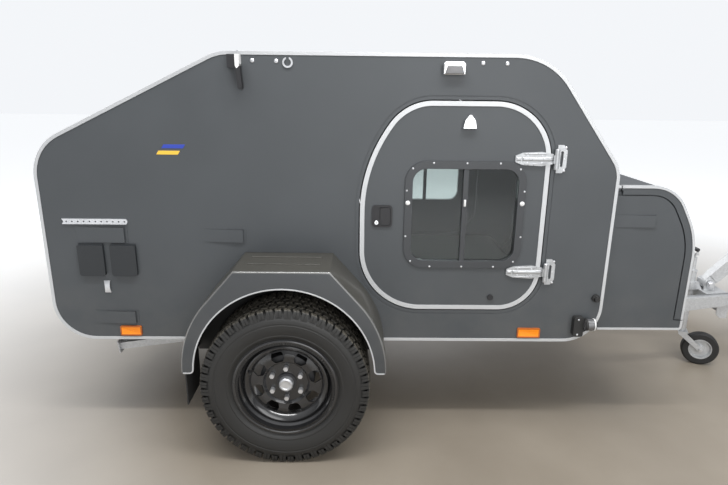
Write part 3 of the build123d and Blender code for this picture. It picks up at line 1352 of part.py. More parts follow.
def steady_leg():
    """Folding rear steady: a channel leg with its foot, bored for the pivot."""
    place = Pos(STEADY_PIVOT_X, STEADY_PIVOT_Z) * Rot(0, 0, 180 + STEADY_DROOP)
    blade = place * Pos(STEADY_LENGTH / 2, 0) * Rectangle(STEADY_LENGTH, 34) + place * Circle(20)
    leg = plate(blade, -STEADY_Y - 20, -STEADY_Y + 20)
    core = place * Pos(STEADY_LENGTH / 2 + 10, -6) * Rectangle(STEADY_LENGTH - 60, 34)
    leg -= plate(core, -STEADY_Y - 16, -STEADY_Y + 16)
    foot = place * Pos(STEADY_LENGTH + 3, 0) * Rectangle(6, 60)
    leg += plate(foot, -STEADY_Y - 35, -STEADY_Y + 35)
    bore = disc(STEADY_PIVOT_X, STEADY_PIVOT_Z, 8.1, -STEADY_Y - 40, -STEADY_Y + 40)
    return leg - bore


def steady_bracket():
    """Fixed ears and pin of a rear steady."""
    top = FLOOR_Z - SEAT
    ear = rectangle(STEADY_PIVOT_X - 22, STEADY_PIVOT_X + 30, STEADY_PIVOT_Z - 22, top)
    bracket = box_between(
        STEADY_PIVOT_X - 22, STEADY_PIVOT_X + 30, -STEADY_Y - 31, -STEADY_Y + 31, top - 5, top
    )
    for near in (-STEADY_Y - 31, -STEADY_Y + 25):
        bracket += plate(ear, near, near + 6)
    return bracket + disc(STEADY_PIVOT_X, STEADY_PIVOT_Z, 8, -STEADY_Y - 34, -STEADY_Y + 34)


Cover = namedtuple("Cover", "x0 x1 z0 z1 radius proud")
VENTS = [
    Cover(REAR_X + 141, REAR_X + 353, 922, 997, 6, VENT_PROUD),
    Cover(ROOF_REAR_X - 103, ROOF_REAR_X + 72, 927, 991, 6, VENT_PROUD),
    Cover(REAR_X + 182, REAR_X + 365, FLOOR_Z + 73, FLOOR_Z + 139, 6, VENT_PROUD),
]
SOCKET_LIDS = [
    Cover(REAR_X + 143, REAR_X + 255, 773, 914, 13, 16),
    Cover(REAR_X + 284, REAR_X + 395, 773, 914, 13, 16),
]
REFLECTORS = [
    Cover(REAR_X + 287, REAR_X + 384, FLOOR_Z + 16, FLOOR_Z + 63, 5, 8),
    Cover(FRONT_X - 377, FRONT_X - 271, FLOOR_Z + 16, FLOOR_Z + 63, 5, 8),
]


def vent_scoop(row, wall_y=HALF):
    """Ventilation cover that rises from the wall towards the front, where it is open."""
    base = plate(rounded(row.x0, row.x1 + VENT_FRAME, row.z0, row.z1, row.radius), -wall_y - VENT_BASE, -wall_y - SEAT)
    outer_y, root_y = -wall_y - row.proud, -wall_y - VENT_BASE
    wedge = make_face(Polyline((row.x0 + 5, root_y), (row.x1, root_y), (row.x1, outer_y), close=True))
    run = (row.x1 - row.x0) * VENT_SHEET / row.proud + 5
    mouth = make_face(
        Polyline(
            (row.x0 + run, root_y),
            (row.x1 + 1, root_y),
            (row.x1 + 1, outer_y + VENT_SHEET),
            (row.x1, outer_y + VENT_SHEET),
            close=True,
        )
    )
    scoop = slab(wedge, row.z0 + 4, row.z1 - 4)
    hollow = slab(mouth, row.z0 + 4 + VENT_SHEET, row.z1 - 4 - VENT_SHEET)
    return base + (scoop - hollow)


def vent_scoops():
    """The three covers on the right wall and the one on the front box."""
    solids = []
    for row in VENTS:
        solids.extend(vent_scoop(row).solids())
    x0, z0 = BOX_REAR_X + 8, BOX_TOP_Z - 185
    box_row = Cover(x0, x0 + BOX_VENT_LENGTH, z0, z0 + BOX_VENT_HEIGHT, 6, VENT_PROUD - 3)
    solids.extend(vent_scoop(box_row, BOX_HALF).solids())
    return Compound(children=solids)


def covers(table):
    """Raised rounded covers on the right wall, one for each row of a table."""
    solids = []
    for row in table:
        face = rounded(row.x0, row.x1, row.z0, row.z1, row.radius)
        piece = plate(face, -HALF - row.proud, -SEAT_Y)
        solids.extend(piece.solids())
    return Compound(children=solids)


def socket_lids():
    """Two hinged lids over the outlets, each with its hinge strip on top."""
    solids = []
    for row in SOCKET_LIDS:
        face = outline(
            [
                Corner(row.x0, row.z1, 4),
                Corner(row.x1, row.z1, 4),
                Corner(row.x1, row.z0, row.radius),
                Corner(row.x0, row.z0, row.radius),
            ]
        )
        lid = plate(face, -HALF - row.proud, -SEAT_Y)
        strip = rectangle(row.x0 + 3, row.x1 - 3, row.z1 - 2, row.z1 + 5)
        lid += plate(strip, -HALF - row.proud / 2, -SEAT_Y)
        solids.extend(lid.solids())
    return Compound(children=solids)


def accessory_rail():
    """Slotted lashing rail with a notched rear end and a rounded front end."""
    x0 = REAR_X + 89
    x1, middle, half = x0 + ACCESSORY_RAIL_LENGTH, ACCESSORY_RAIL_Z, ACCESSORY_RAIL_HEIGHT / 2
    face = outline(
        [
            Corner(x0, middle - half, 0),
            Corner(x1, middle - half, half - 1),
            Corner(x1, middle + half, half - 1),
            Corner(x0, middle + half, 0),
            Corner(x0 + 8, middle, 0),
        ]
    )
    for index in range(RAIL_HOLES):
        face -= Pos(x0 + 20 + index * RAIL_HOLE_PITCH, middle) * Circle(RAIL_HOLE_R)
    return plate(face, -HALF - 7, -SEAT_Y)


def porch_lamp():
    """Lamp over the door: a rounded case that slopes back to its foot."""
    x0, top = DOOR_REAR_X + 329, ROOF_Z - 27
    case = outline(
        [
            Corner(x0, top, 16),
            Corner(x0 + PORCH_LAMP_LENGTH, top, 16),
            Corner(x0 + PORCH_LAMP_LENGTH, top - PORCH_LAMP_HEIGHT, 6),
            Corner(x0, top - PORCH_LAMP_HEIGHT, 6),
        ]
    )
    return plate(case, -HALF - PORCH_LAMP_PROUD, -SEAT_Y)


def marker_lamp_base():
    """Rubber base of the side marker lamp."""
    x1, z = FRONT_X - 82, FLOOR_Z + 80
    return plate(rounded(x1 - MARKER_BASE_LENGTH, x1, z - 48, z + 48, 12), -HALF - 30, -SEAT_Y)


def marker_lamp_lens():
    """Round lens of the side marker lamp, pointing forward."""
    x0, z = FRONT_X - 82 + SEAT, FLOOR_Z + 94
    reach = MARKER_LENS_LENGTH / 2
    return Pos(x0 + reach, -HALF - 31, z) * Rot(0, 90, 0) * Cylinder(MARKER_LENS_R, 2 * reach)


def door_holder():
    """Rubber knob on the wall that holds the open door."""
    x, z = FRONT_X - 33, FLOOR_Z + 212
    return disc(x, z, 18, -HALF - 12, -SEAT_Y) + disc(x, z, 12, -HALF - 28, -HALF - 12)


def awning_bracket():
    """Fixed bracket at the roof's rear: box, bright strap and two hanging arms."""
    top, x0 = ROOF_Z - 10, ROOF_REAR_X + AWNING_REACH
    box = plate(rectangle(x0, x0 + 34, top - 52, top), -HALF - 34, -SEAT_Y)
    strap_face = outline(
        [
            Corner(x0 + 34, top, 0),
            Corner(x0 + 34, top - 44, 4),
            Corner(x0 + 40, top - 56, 4),
            Corner(x0 + 50, top - 44, 4),
            Corner(x0 + 50, top, 0),
        ]
    )
    strap = plate(strap_face, -HALF - 46, -SEAT_Y)
    arm_face = make_hull(
        [*(Pos(x0 + 42, top - 40) * Circle(10)).edges(), *(Pos(x0 + 50, top - 126) * Circle(9)).edges()]
    )
    arms = plate(arm_face, -HALF - 46 + SEAT, -HALF - 38) + plate(arm_face, -HALF - 20, -HALF - 12)
    pin = disc(x0 + 50, top - 126, 4, -HALF - 48, -HALF - 8)
    return box + strap + arms + pin


def lashing_eye():
    """Eyelet under the roof edge, open at the top."""
    x, z = ROOF_REAR_X + 283, ROOF_Z - 38
    ring = Pos(x, z) * Circle(EYE_R) - Pos(x, z) * Circle(EYE_R - 7)
    ring -= rectangle(x - 6, x + 6, z, z + EYE_R + 1)
    return plate(ring, -HALF - 6, -SEAT_Y)


def rear_lamps():
    """Lamp clusters on the rear sill."""
    solids = []
    for y in (-1, 1):
        lamp = box_between(
            TAIL_X, REAR_X - SEAT, -INNER + 30, -INNER + 250, LAMP_Z - 45, LAMP_Z + 45
        )
        lamp = fillet(lamp.edges().filter_by(Axis.X), 20)
        solids.extend((lamp if y < 0 else mirror(lamp, about=Plane.XZ)).solids())
    return Compound(children=solids)


def plate_holder():
    """Blank holder for the registration plate."""
    z0 = HATCH_SILL_Z + 40
    half = PLATE_LENGTH / 2
    return box_between(REAR_X - 8, REAR_X - SEAT, -half, half, z0, z0 + PLATE_HEIGHT)


def hatch_latches():
    """Two compression latches on the hatch's rear wall."""
    solids = []
    half = LATCH_SIZE / 2
    z0 = HATCH_SILL_Z + 100
    for y in (-LATCH_Y, LATCH_Y):
        latch = box_between(REAR_X - 22, REAR_X - SEAT, y - half, y + half, z0, z0 + LATCH_SIZE)
        solids.extend(fillet(latch.edges().filter_by(Axis.X), 12).solids())
    return Compound(children=solids)


def assembly():
    """Every piece by node name."""
    pieces = {}
    panel = side_panels()
    pieces["side_panel_right"] = panel
    pieces["side_panel_left"] = mirror(panel, about=Plane.XZ)
    pieces["edge_trims"] = both_sides(pair(edge_trim(), front_box_foot_trim(), front_box_head_trim(), fender_trim()))
    pieces["roof_skin"] = roof_skin()
    pieces["floor_panel"] = floor_panel()
    pieces["rear_sill"] = rear_sill()
    pieces["bulkhead"] = bulkhead()
    pieces["galley_unit"] = galley_unit()
    pieces["mattress"] = mattress()
    pieces["hatch_panel"] = hatch_panel()
    pieces["hatch_fittings"] = pair(bored_leaves(HATCH_HINGE, -1, LEAF_LENGTH), hatch_latches())
    sided = {
        "door_panel": door_panel(),
        "door_trim": door_trim(),
        "window_frame": window_frame(),
        "window_glass": window_glass(),
        "door_hardware": pair(hinge_straps(), door_fittings()),
        "tyre": tyre(),
        "rim": rim(),
        "hub": hub(),
        "steady_leg": steady_leg(),
    }
    for name, piece in sided.items():
        pieces[f"{name}_right"] = piece
        pieces[f"{name}_left"] = mirror(piece, about=Plane.XZ)
    pieces["door_hinge_plates"] = both_sides(hinge_plates())
    pieces["panel_hinge_leaves"] = pair(
        pinned_leaves(HATCH_HINGE, 1, LEAF_LENGTH),
        pinned_leaves(LID_HINGE, -1, BOX_LID_SETBACK - PANEL_GAP),
    )
    pieces["fenders"] = both_sides(fender() + flap_clamp())
    pieces["chassis_frame"] = chassis_frame()
    pieces["axle_beam"] = axle_beam()
    pieces["steady_brackets"] = both_sides(steady_bracket())
    pieces["front_box_tub"] = front_box_tub()
    pieces["front_box_lid"] = front_box_lid()
    pieces["front_box_lid_trim"] = both_sides(front_box_trim())
    pieces["front_box_lid_leaves"] = bored_leaves(LID_HINGE, 1, LEAF_LENGTH)
    pieces["drawbar_head_fittings"] = pair(drawbar_ears(), jockey_clamp(), hanging_bracket())
    pieces["tow_arm"] = tow_arm()
    pieces["overrun_housing"] = overrun_housing()
    pieces["coupling_head"] = coupling_head()
    pieces["coupling_levers"] = pair(*coupling_levers())
    pieces["jockey_tube"] = jockey_tube() + jockey_crank()
    pieces["jockey_grip"] = jockey_grip()
    pieces["jockey_leg"] = jockey_leg()
    pieces["jockey_fork"] = jockey_fork()
    rubber, centre = jockey_wheel()
    pieces["jockey_tyre"] = rubber
    pieces["jockey_wheel_centre"] = centre
    pieces["vent_covers"] = both_sides(vent_scoops())
    pieces["socket_lids"] = both_sides(socket_lids())
    pieces["porch_lamps"] = both_sides(porch_lamp())
    pieces["rubber_fittings"] = both_sides(pair(marker_lamp_base(), door_holder(), mud_flap()))
    pieces["amber_lenses"] = both_sides(covers(REFLECTORS))
    pieces["marker_lenses"] = both_sides(marker_lamp_lens())
    pieces["side_metalwork"] = both_sides(pair(awning_bracket(), lashing_eye(), accessory_rail()))
    pieces["rear_lamps"] = rear_lamps()
    pieces["plate_holder"] = plate_holder()
    return pieces


for node, piece in assembly().items():
    save(node, piece)
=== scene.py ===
"""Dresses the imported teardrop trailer: finishes, fittings, floor, light and camera."""

from __future__ import annotations

import json
import logging
import math
from contextlib import contextmanager
from dataclasses import dataclass, field
from enum import Enum
from typing import Callable, Iterator, Sequence

import bmesh
import bpy
from mathutils import Matrix, Vector

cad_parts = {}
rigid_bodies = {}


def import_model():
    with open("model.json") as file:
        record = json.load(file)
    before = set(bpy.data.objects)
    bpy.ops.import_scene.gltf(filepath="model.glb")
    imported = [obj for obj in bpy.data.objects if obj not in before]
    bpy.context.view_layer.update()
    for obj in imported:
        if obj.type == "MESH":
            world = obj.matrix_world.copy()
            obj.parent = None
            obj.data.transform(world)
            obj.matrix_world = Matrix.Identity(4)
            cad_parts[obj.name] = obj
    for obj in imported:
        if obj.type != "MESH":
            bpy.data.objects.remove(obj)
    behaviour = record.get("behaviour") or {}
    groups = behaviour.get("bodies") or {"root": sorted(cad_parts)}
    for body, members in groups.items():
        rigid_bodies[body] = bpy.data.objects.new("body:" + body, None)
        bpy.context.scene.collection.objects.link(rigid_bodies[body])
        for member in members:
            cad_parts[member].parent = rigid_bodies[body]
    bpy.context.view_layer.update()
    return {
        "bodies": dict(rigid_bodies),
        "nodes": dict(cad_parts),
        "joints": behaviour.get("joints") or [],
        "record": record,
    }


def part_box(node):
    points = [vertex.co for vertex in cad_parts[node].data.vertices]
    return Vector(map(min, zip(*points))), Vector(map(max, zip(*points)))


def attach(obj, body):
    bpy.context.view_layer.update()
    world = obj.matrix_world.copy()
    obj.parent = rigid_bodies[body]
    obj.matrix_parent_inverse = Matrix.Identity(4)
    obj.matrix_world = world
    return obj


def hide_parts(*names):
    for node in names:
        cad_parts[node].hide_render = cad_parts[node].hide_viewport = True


LOG = logging.getLogger("trailer")
Point = tuple[float, float]
Spot = tuple[float, float, float]
Test = Callable[[Vector, Vector], bool]
Piece = bpy.types.Object


class Side(Enum):
    """The two sides of the trailer, with the sign of Y there."""

    RIGHT = -1
    LEFT = 1

    @property
    def tag(self) -> str:
        """Ending of the nodes' names on this side."""
        return self.name.lower()


# ---------------------------------------------------------------- shader maths


class Term:
    """A socket with arithmetic: an operator on it adds a Math node."""

    def __init__(self, graph: Graph, socket: bpy.types.NodeSocket) -> None:
        """Wrap one output socket of a graph."""
        self.graph = graph
        self.socket = socket

    def _math(self, operation: str, first: object, second: object) -> Term:
        """Add a Math node on two values."""
        return self.graph.node("ShaderNodeMath", {"operation": operation}, {0: first, 1: second})

    def __add__(self, other: object) -> Term:
        """Sum."""
        return self._math("ADD", self, other)

    def __radd__(self, other: object) -> Term:
        """Sum, from the right."""
        return self._math("ADD", other, self)

    def __sub__(self, other: object) -> Term:
        """Difference."""
        return self._math("SUBTRACT", self, other)

    def __rsub__(self, other: object) -> Term:
        """Difference, from the right."""
        return self._math("SUBTRACT", other, self)

    def __mul__(self, other: object) -> Term:
        """Product."""
        return self._math("MULTIPLY", self, other)

    def __rmul__(self, other: object) -> Term:
        """Product, from the right."""
        return self._math("MULTIPLY", other, self)

    def __pow__(self, other: object) -> Term:
        """Power."""
        return self._math("POWER", self, other)

    def sine(self) -> Term:
        """Sine of the value."""
        return self._math("SINE", self, 0.0)


class Graph:
    """The node tree of a material or of the world."""

    def __init__(self, tree: bpy.types.NodeTree, shader: str = "Principled BSDF") -> None:
        """Wrap a tree.

        Args:
            tree: The tree.
            shader: Name of the shader that it has.
        """
        self.tree = tree
        self.shader = tree.nodes[shader]

    def node(
        self, kind: str, settings: dict[str, object], inputs: dict[object, object], out: object = 0
    ) -> Term:
        """Add a node.

        Args:
            kind: The node's type.
            settings: Its settings, set first.
            inputs: Values or links of its sockets, by name or number.
            out: The output to return.

        Returns:
            The wanted output.
        """
        made = self.tree.nodes.new(kind)
        for key, value in settings.items():
            setattr(made, key, value)
        for key, value in inputs.items():
            self.feed(made.inputs[key], value)
        return Term(self, made.outputs[out])

    def feed(self, socket: bpy.types.NodeSocket, value: object) -> None:
        """Link a term to a socket, or set its value."""
        if isinstance(value, Term):
            self.tree.links.new(value.socket, socket)
        else:
            socket.default_value = value

    def place(self) -> Term:
        """Object coordinates."""
        return self.node("ShaderNodeTexCoord", {}, {}, "Object")

    def stretched(self, scale: tuple[float, float, float]) -> Term:
        """Object coordinates, scaled along each axis."""
        return self.node(
            "ShaderNodeMapping", {"vector_type": "POINT"}, {"Vector": self.place(), "Scale": scale}
        )

    def ray(self, kind: str) -> Term:
        """1 on rays of one kind: Camera, Glossy or Transmission."""
        return self.node("ShaderNodeLightPath", {}, {}, f"Is {kind} Ray")

    def axis(self, index: int) -> Term:
        """One of the object coordinates."""
        return self.node("ShaderNodeSeparateXYZ", {}, {0: self.place()}, index)

    def noise(self, scale: float, detail: float = 3.0, vector: Term | None = None) -> Term:
        """Noise from 0 to 1."""
        return self.node(
            "ShaderNodeTexNoise",
            {},
            {"Vector": vector or self.place(), "Scale": scale, "Detail": detail},
        )

    def cells(self, scale: float) -> Term:
        """Random grey of Voronoi cells."""
        colour = self.node("ShaderNodeTexVoronoi", {}, {"Vector": self.place(), "Scale": scale}, "Color")
        return self.node("ShaderNodeSeparateXYZ", {}, {0: colour}, 0)

    def mixed(self, share: object, first: object, second: object) -> Term:
        """Colour between two colours."""
        first, second = ((*value, 1.0) if isinstance(value, tuple) else value for value in (first, second))
        return self.node("ShaderNodeMix", {"data_type": "RGBA"}, {0: share, 6: first, 7: second}, 2)

    def limited(self, value: Term, low: float, high: float) -> Term:
        """Value mapped from low..high to 0..1 and cut off there."""
        return self.node(
            "ShaderNodeMapRange", {"clamp": True}, {"Value": value, "From Min": low, "From Max": high}
        )

    def patches(self, scale: float, detail: float, low: float = 0.3, high: float = 0.7) -> Term:
        """Noise that is cut off below and above."""
        return self.limited(self.noise(scale, detail), low, high)

    def bump(self, height: Term, distance: float) -> None:
        """Feed a height to the shader's normal."""
        values = {"Height": height, "Distance": distance, "Strength": 1.0}
        self.set(Normal=self.node("ShaderNodeBump", {}, values))

    def set(self, **values: object) -> None:
        """Set shader sockets by name, with underscores for spaces."""
        for key, value in values.items():
            self.feed(self.shader.inputs[key.replace("_", " ")], value)


@dataclass(frozen=True)
class Coat:
    """A plain finish: tone that varies a little, and a fine grain.

    Attributes:
        name: Name of the material.
        colour: Its mean colour.
        rough: Mean roughness.
        metal: Metallic share.
        tone: How far the tone wanders, as a share.
        tone_scale: Scale of that wandering.
        grain: Scale of the grain.
        depth: Height of the grain in metres.
        coat: Clear coat weight.
        coat_rough: Roughness of the clear coat.
        uneven: How far the roughness wanders.
    """

    name: str
    colour: Spot
    rough: float = 0.5
    metal: float = 0.0
    tone: float = 0.1
    tone_scale: float = 3.0
    grain: float = 600.0
    depth: float = 0.0002
    coat: float = 0.0
    coat_rough: float = 0.12
    uneven: float = 0.16

    def shades(self, dark: float, light: float) -> tuple[Spot, Spot]:
        """A darker and a lighter tone of the colour."""
        return tuple(tuple(min(c * share, 1.0) for c in self.colour) for share in (dark, light))

    def ground(self, graph: Graph) -> Term:
        """Colour before wear."""
        return graph.mixed(graph.patches(self.tone_scale, 4.0), *self.shades(1 - self.tone, 1 + self.tone))

    def dress(self, graph: Graph) -> None:
        """Wire colour, roughness and grain."""
        wander = graph.noise(self.tone_scale * 4, 5.0)
        graph.set(
            Base_Color=self.ground(graph),
            Roughness=wander * self.uneven + (self.rough - self.uneven / 2),
            Metallic=self.metal,
            Coat_Weight=self.coat,
            Coat_Roughness=self.coat_rough,
        )
        graph.bump(graph.noise(self.grain, 2.0), self.depth)

    def build(self) -> bpy.types.Material:
        """Make the material.

        Returns:
            The finished material.
        """
        material = bpy.data.materials.new(self.name)
        material.use_nodes = True
        self.dress(Graph(material.node_tree))
        return material


@dataclass(frozen=True)
class Panel(Coat):
    """Body panel coating, with a breath of dust low down.

    Attributes:
        dust: Colour of the dust.
        dusting: Its greatest share.
        clean_from: Heights between which it fades.
    """

    dust: Spot = (0.22, 0.21, 0.19)
    dusting: float = 0.14
    clean_from: Point = (0.42, 0.9)

    def ground(self, graph: Graph) -> Term:
        """Coat colour, dusted towards the floor."""
        low = 1.0 - graph.limited(graph.axis(2), *self.clean_from)
        patch = graph.patches(9.0, 6.0, 0.35, 0.75)
        return graph.mixed(low * patch * self.dusting, Coat.ground(self, graph), self.dust)


@dataclass(frozen=True)
class Zinc(Coat):
    """Hot-dip zinc with its spangle."""

    def ground(self, graph: Graph) -> Term:
        """Spangled grey."""
        spangle = graph.cells(110.0) * 0.6 + graph.noise(26.0, 5.0) * 0.4
        return graph.mixed(spangle, *self.shades(0.88, 1.1))


@dataclass(frozen=True)
class Tread(Coat):
    """Tyre rubber, browned by dust on the faces of its tread blocks.

    Attributes:
        hub: Point on the wheel's axis.
        groove_radius: Radius of the grooves, which stay dark.
        crown_radius: Radius from which the blocks are dusty.
        dust: Colour of the dust.
    """

    hub: Spot = (0.0, 0.0, 0.0)
    groove_radius: float = 0.352
    crown_radius: float = 0.3575
    dust: Spot = (0.12, 0.108, 0.085)

    def ground(self, graph: Graph) -> Term:
        """Rubber colour with dust on the blocks."""
        across = graph.axis(0) - self.hub[0]
        up = graph.axis(2) - self.hub[2]
        radius = (across * across + up * up) ** 0.5
        worn = graph.limited(radius, self.groove_radius, self.crown_radius)
        patch = graph.patches(14.0, 4.0)
        return graph.mixed(worn * (patch * 0.35 + 0.35), Coat.ground(self, graph), self.dust)


@dataclass(frozen=True)
class Board(Coat):
    """Wood with its grain along X."""

    def ground(self, graph: Graph) -> Term:
        """Streaks between a dark and a light tone."""
        streak = graph.noise(3.0, 8.0, graph.stretched((1.0, 14.0, 14.0)))
        fine = graph.noise(10.0, 4.0, graph.stretched((1.0, 40.0, 40.0)))
        return graph.mixed(graph.limited(streak * 0.7 + fine * 0.3, 0.35, 0.65), *self.shades(0.72, 1.2))


@dataclass(frozen=True)
class Woven(Coat):
    """Cloth with a plain weave.

    Attributes:
        threads: Waves of the weave in a metre, as an angle.
    """

    threads: float = 1900.0

    def dress(self, graph: Graph) -> None:
        """Wire the weave's threads into tone and bump."""
        warp, weft = ((graph.axis(index) * self.threads).sine() for index in (0, 1))
        weave = warp * weft * 0.5 + 0.5
        tone = graph.patches(5.0, 4.0) * 0.5 + weave * 0.5
        colour = graph.mixed(tone, *self.shades(0.8, 1.0))
        graph.set(Base_Color=colour, Roughness=self.rough, Sheen_Weight=0.3)
        graph.bump(weave, self.depth)


@dataclass(frozen=True)
class Pane(Coat):
    """Window glass, lightly tinted, with a film of dust."""

    def dress(self, graph: Graph) -> None:
        """Wire clear glass with slightly uneven gloss."""
        film = graph.patches(14.0, 6.0, 0.5, 0.8)
        graph.set(
            Base_Color=(*self.colour, 1.0),
            Roughness=film * 0.05 + self.rough,
            Transmission_Weight=1.0,
            IOR=1.45,
        )


@dataclass(frozen=True)
class Lens(Coat):
    """Moulded lamp lens with prisms in rows.

    Attributes:
        prisms: Waves of the prisms in a metre, as an angle.
        clear: How far light passes.
    """

    prisms: float = 900.0
    clear: float = 0.0
    coat: float = 0.8
    coat_rough: float = 0.05

    def dress(self, graph: Graph) -> None:
        """Wire colour and the prism rows."""
        rows = (graph.axis(2) * self.prisms).sine() * (graph.axis(0) * self.prisms).sine()
        graph.set(
            Base_Color=Coat.ground(self, graph),
            Roughness=self.rough,
            Coat_Weight=self.coat,
            Coat_Roughness=self.coat_rough,
            Transmission_Weight=self.clear,
        )
        graph.bump(rows * 0.5 + 0.5, self.depth)


@dataclass
class Paints:
    """Every finish of the trailer, by name."""

    hub: Vector
    store: dict[str, bpy.types.Material] = field(default_factory=dict)

    def mix(self) -> None:
        """Make all the materials."""
        hub = tuple(self.hub)
        finishes = [
            Panel("anthracite_panel", (0.0605, 0.0665, 0.072), 0.46, depth=0.00012, tone=0.06, grain=1400.0),
            Panel("anthracite_fender", (0.042, 0.046, 0.05), 0.34, depth=0.00006, tone=0.06, coat=0.2),
            Coat("vent_shade", (0.03, 0.032, 0.034), 0.5, depth=0.00012, grain=1400.0),
            Coat("bright_edge", (0.54, 0.55, 0.56), 0.34, 0.35, tone=0.04, depth=0.00003),
            Coat("cast_alloy", (0.46, 0.47, 0.48), 0.3, 0.7, tone=0.1, tone_scale=30.0, depth=0.0002),
            Coat("chrome", (0.85, 0.86, 0.87), 0.12, 1.0, tone=0.03, depth=0.00002),
            Coat("bright_zinc", (0.66, 0.67, 0.69), 0.32, 0.8, tone=0.08, tone_scale=20.0, depth=0.00006),
            Zinc("hot_zinc", (0.56, 0.57, 0.58), 0.44, 0.5, depth=0.0002, grain=160.0),
            Coat("black_plastic", (0.016, 0.016, 0.018), 0.42, depth=0.0001),
            Coat("grey_plastic", (0.021, 0.024, 0.027), 0.5, depth=0.0001),
            Coat("frame_plastic", (0.04, 0.043, 0.047), 0.36, depth=0.00005),
            Coat("black_rubber", (0.018, 0.018, 0.018), 0.62, depth=0.0002),
            Coat("gloss_black", (0.019, 0.019, 0.02), 0.16, coat=0.6, depth=0.00002),
            # painted highlight: a lighter, glossier grey on the fender's rounded fold stands in for the glint
            # of the ceiling lamps along it
            Coat("fender_fold", (0.17, 0.17, 0.165), 0.2, 0.3, coat=0.5, depth=0.00002),
            # dark coat with a brownish tint that is a painted reflection of the surroundings on the fender's
            # top and sides; the long pads take it too
            Panel("fender_band", (0.05, 0.048, 0.041), 0.42, depth=0.00006, tone=0.08, coat=0.2),
            # near black: the wall liner's own colour deepened to painted shade, painted shade on the fender's
            # underside, and a painted shadow that makes the rim's flat seat read as a deep channel
            Coat("channel_black", (0.003, 0.003, 0.003), 0.5, depth=0.00002),
            Coat("cast_black", (0.03, 0.03, 0.032), 0.5, 0.2, depth=0.0004, grain=300.0),
            Coat("white_cap", (0.75, 0.75, 0.74), 0.35, depth=0.00003),
            Coat("stripe_blue", (0.03, 0.06, 0.4), 0.4, tone=0.04),
            Coat("stripe_yellow", (0.85, 0.52, 0.06), 0.4, tone=0.04),
            Tread("tyre_rubber", (0.019, 0.0188, 0.018), 0.58, tone=0.15, depth=0.0001, grain=420.0, hub=hub),
            Board("birch_board", (0.55, 0.4, 0.25), 0.45, depth=0.0001),
            Board("floor_board", (0.09, 0.07, 0.055), 0.55, depth=0.0002),
            Woven("bed_cloth", (0.3, 0.31, 0.34), 0.85, depth=0.0004),
            Pane("tinted_pane", (0.62, 0.68, 0.67), 0.01),
            Lens("amber_lens", (1.0, 0.27, 0.0), 0.35, tone=0.03, depth=0.0003, coat=0.2),
            Lens("amber_rim", (0.42, 0.1, 0.006), 0.3, tone=0.05, depth=0.0001, coat=0.3),
            Lens("smoked_lens", (0.12, 0.12, 0.125), 0.2, tone=0.02, depth=0.0003, clear=0.1),
            Lens("red_lens", (0.55, 0.015, 0.012), 0.25, tone=0.05, depth=0.0004),
            Lens("clear_lens", (0.8, 0.82, 0.84), 0.15, tone=0.02, depth=0.0003, clear=0.5),
        ]
        for finish in finishes:
            self.store[finish.name] = finish.build()

    def __getitem__(self, name: str) -> bpy.types.Material:
        """The material of a finish."""
        return self.store[name]


NODE_FINISHES: dict[str, Sequence[str]] = {
    "anthracite_panel": (
        "side_panel_right", "side_panel_left", "roof_skin", "rear_sill", "hatch_panel", "door_panel_right",
        "door_panel_left",
    ),
    "bright_zinc": ("panel_hinge_leaves", "front_box_lid_leaves"),
    "hot_zinc": ("axle_beam", "steady_brackets", "steady_leg_right", "steady_leg_left", "jockey_leg"),
    "cast_black": ("coupling_head",),
    "birch_board": ("bulkhead", "galley_unit"),
    "floor_board": ("floor_panel",),
    "tinted_pane": ("window_glass_right", "window_glass_left"),
}


# ---------------------------------------------------------------- stage


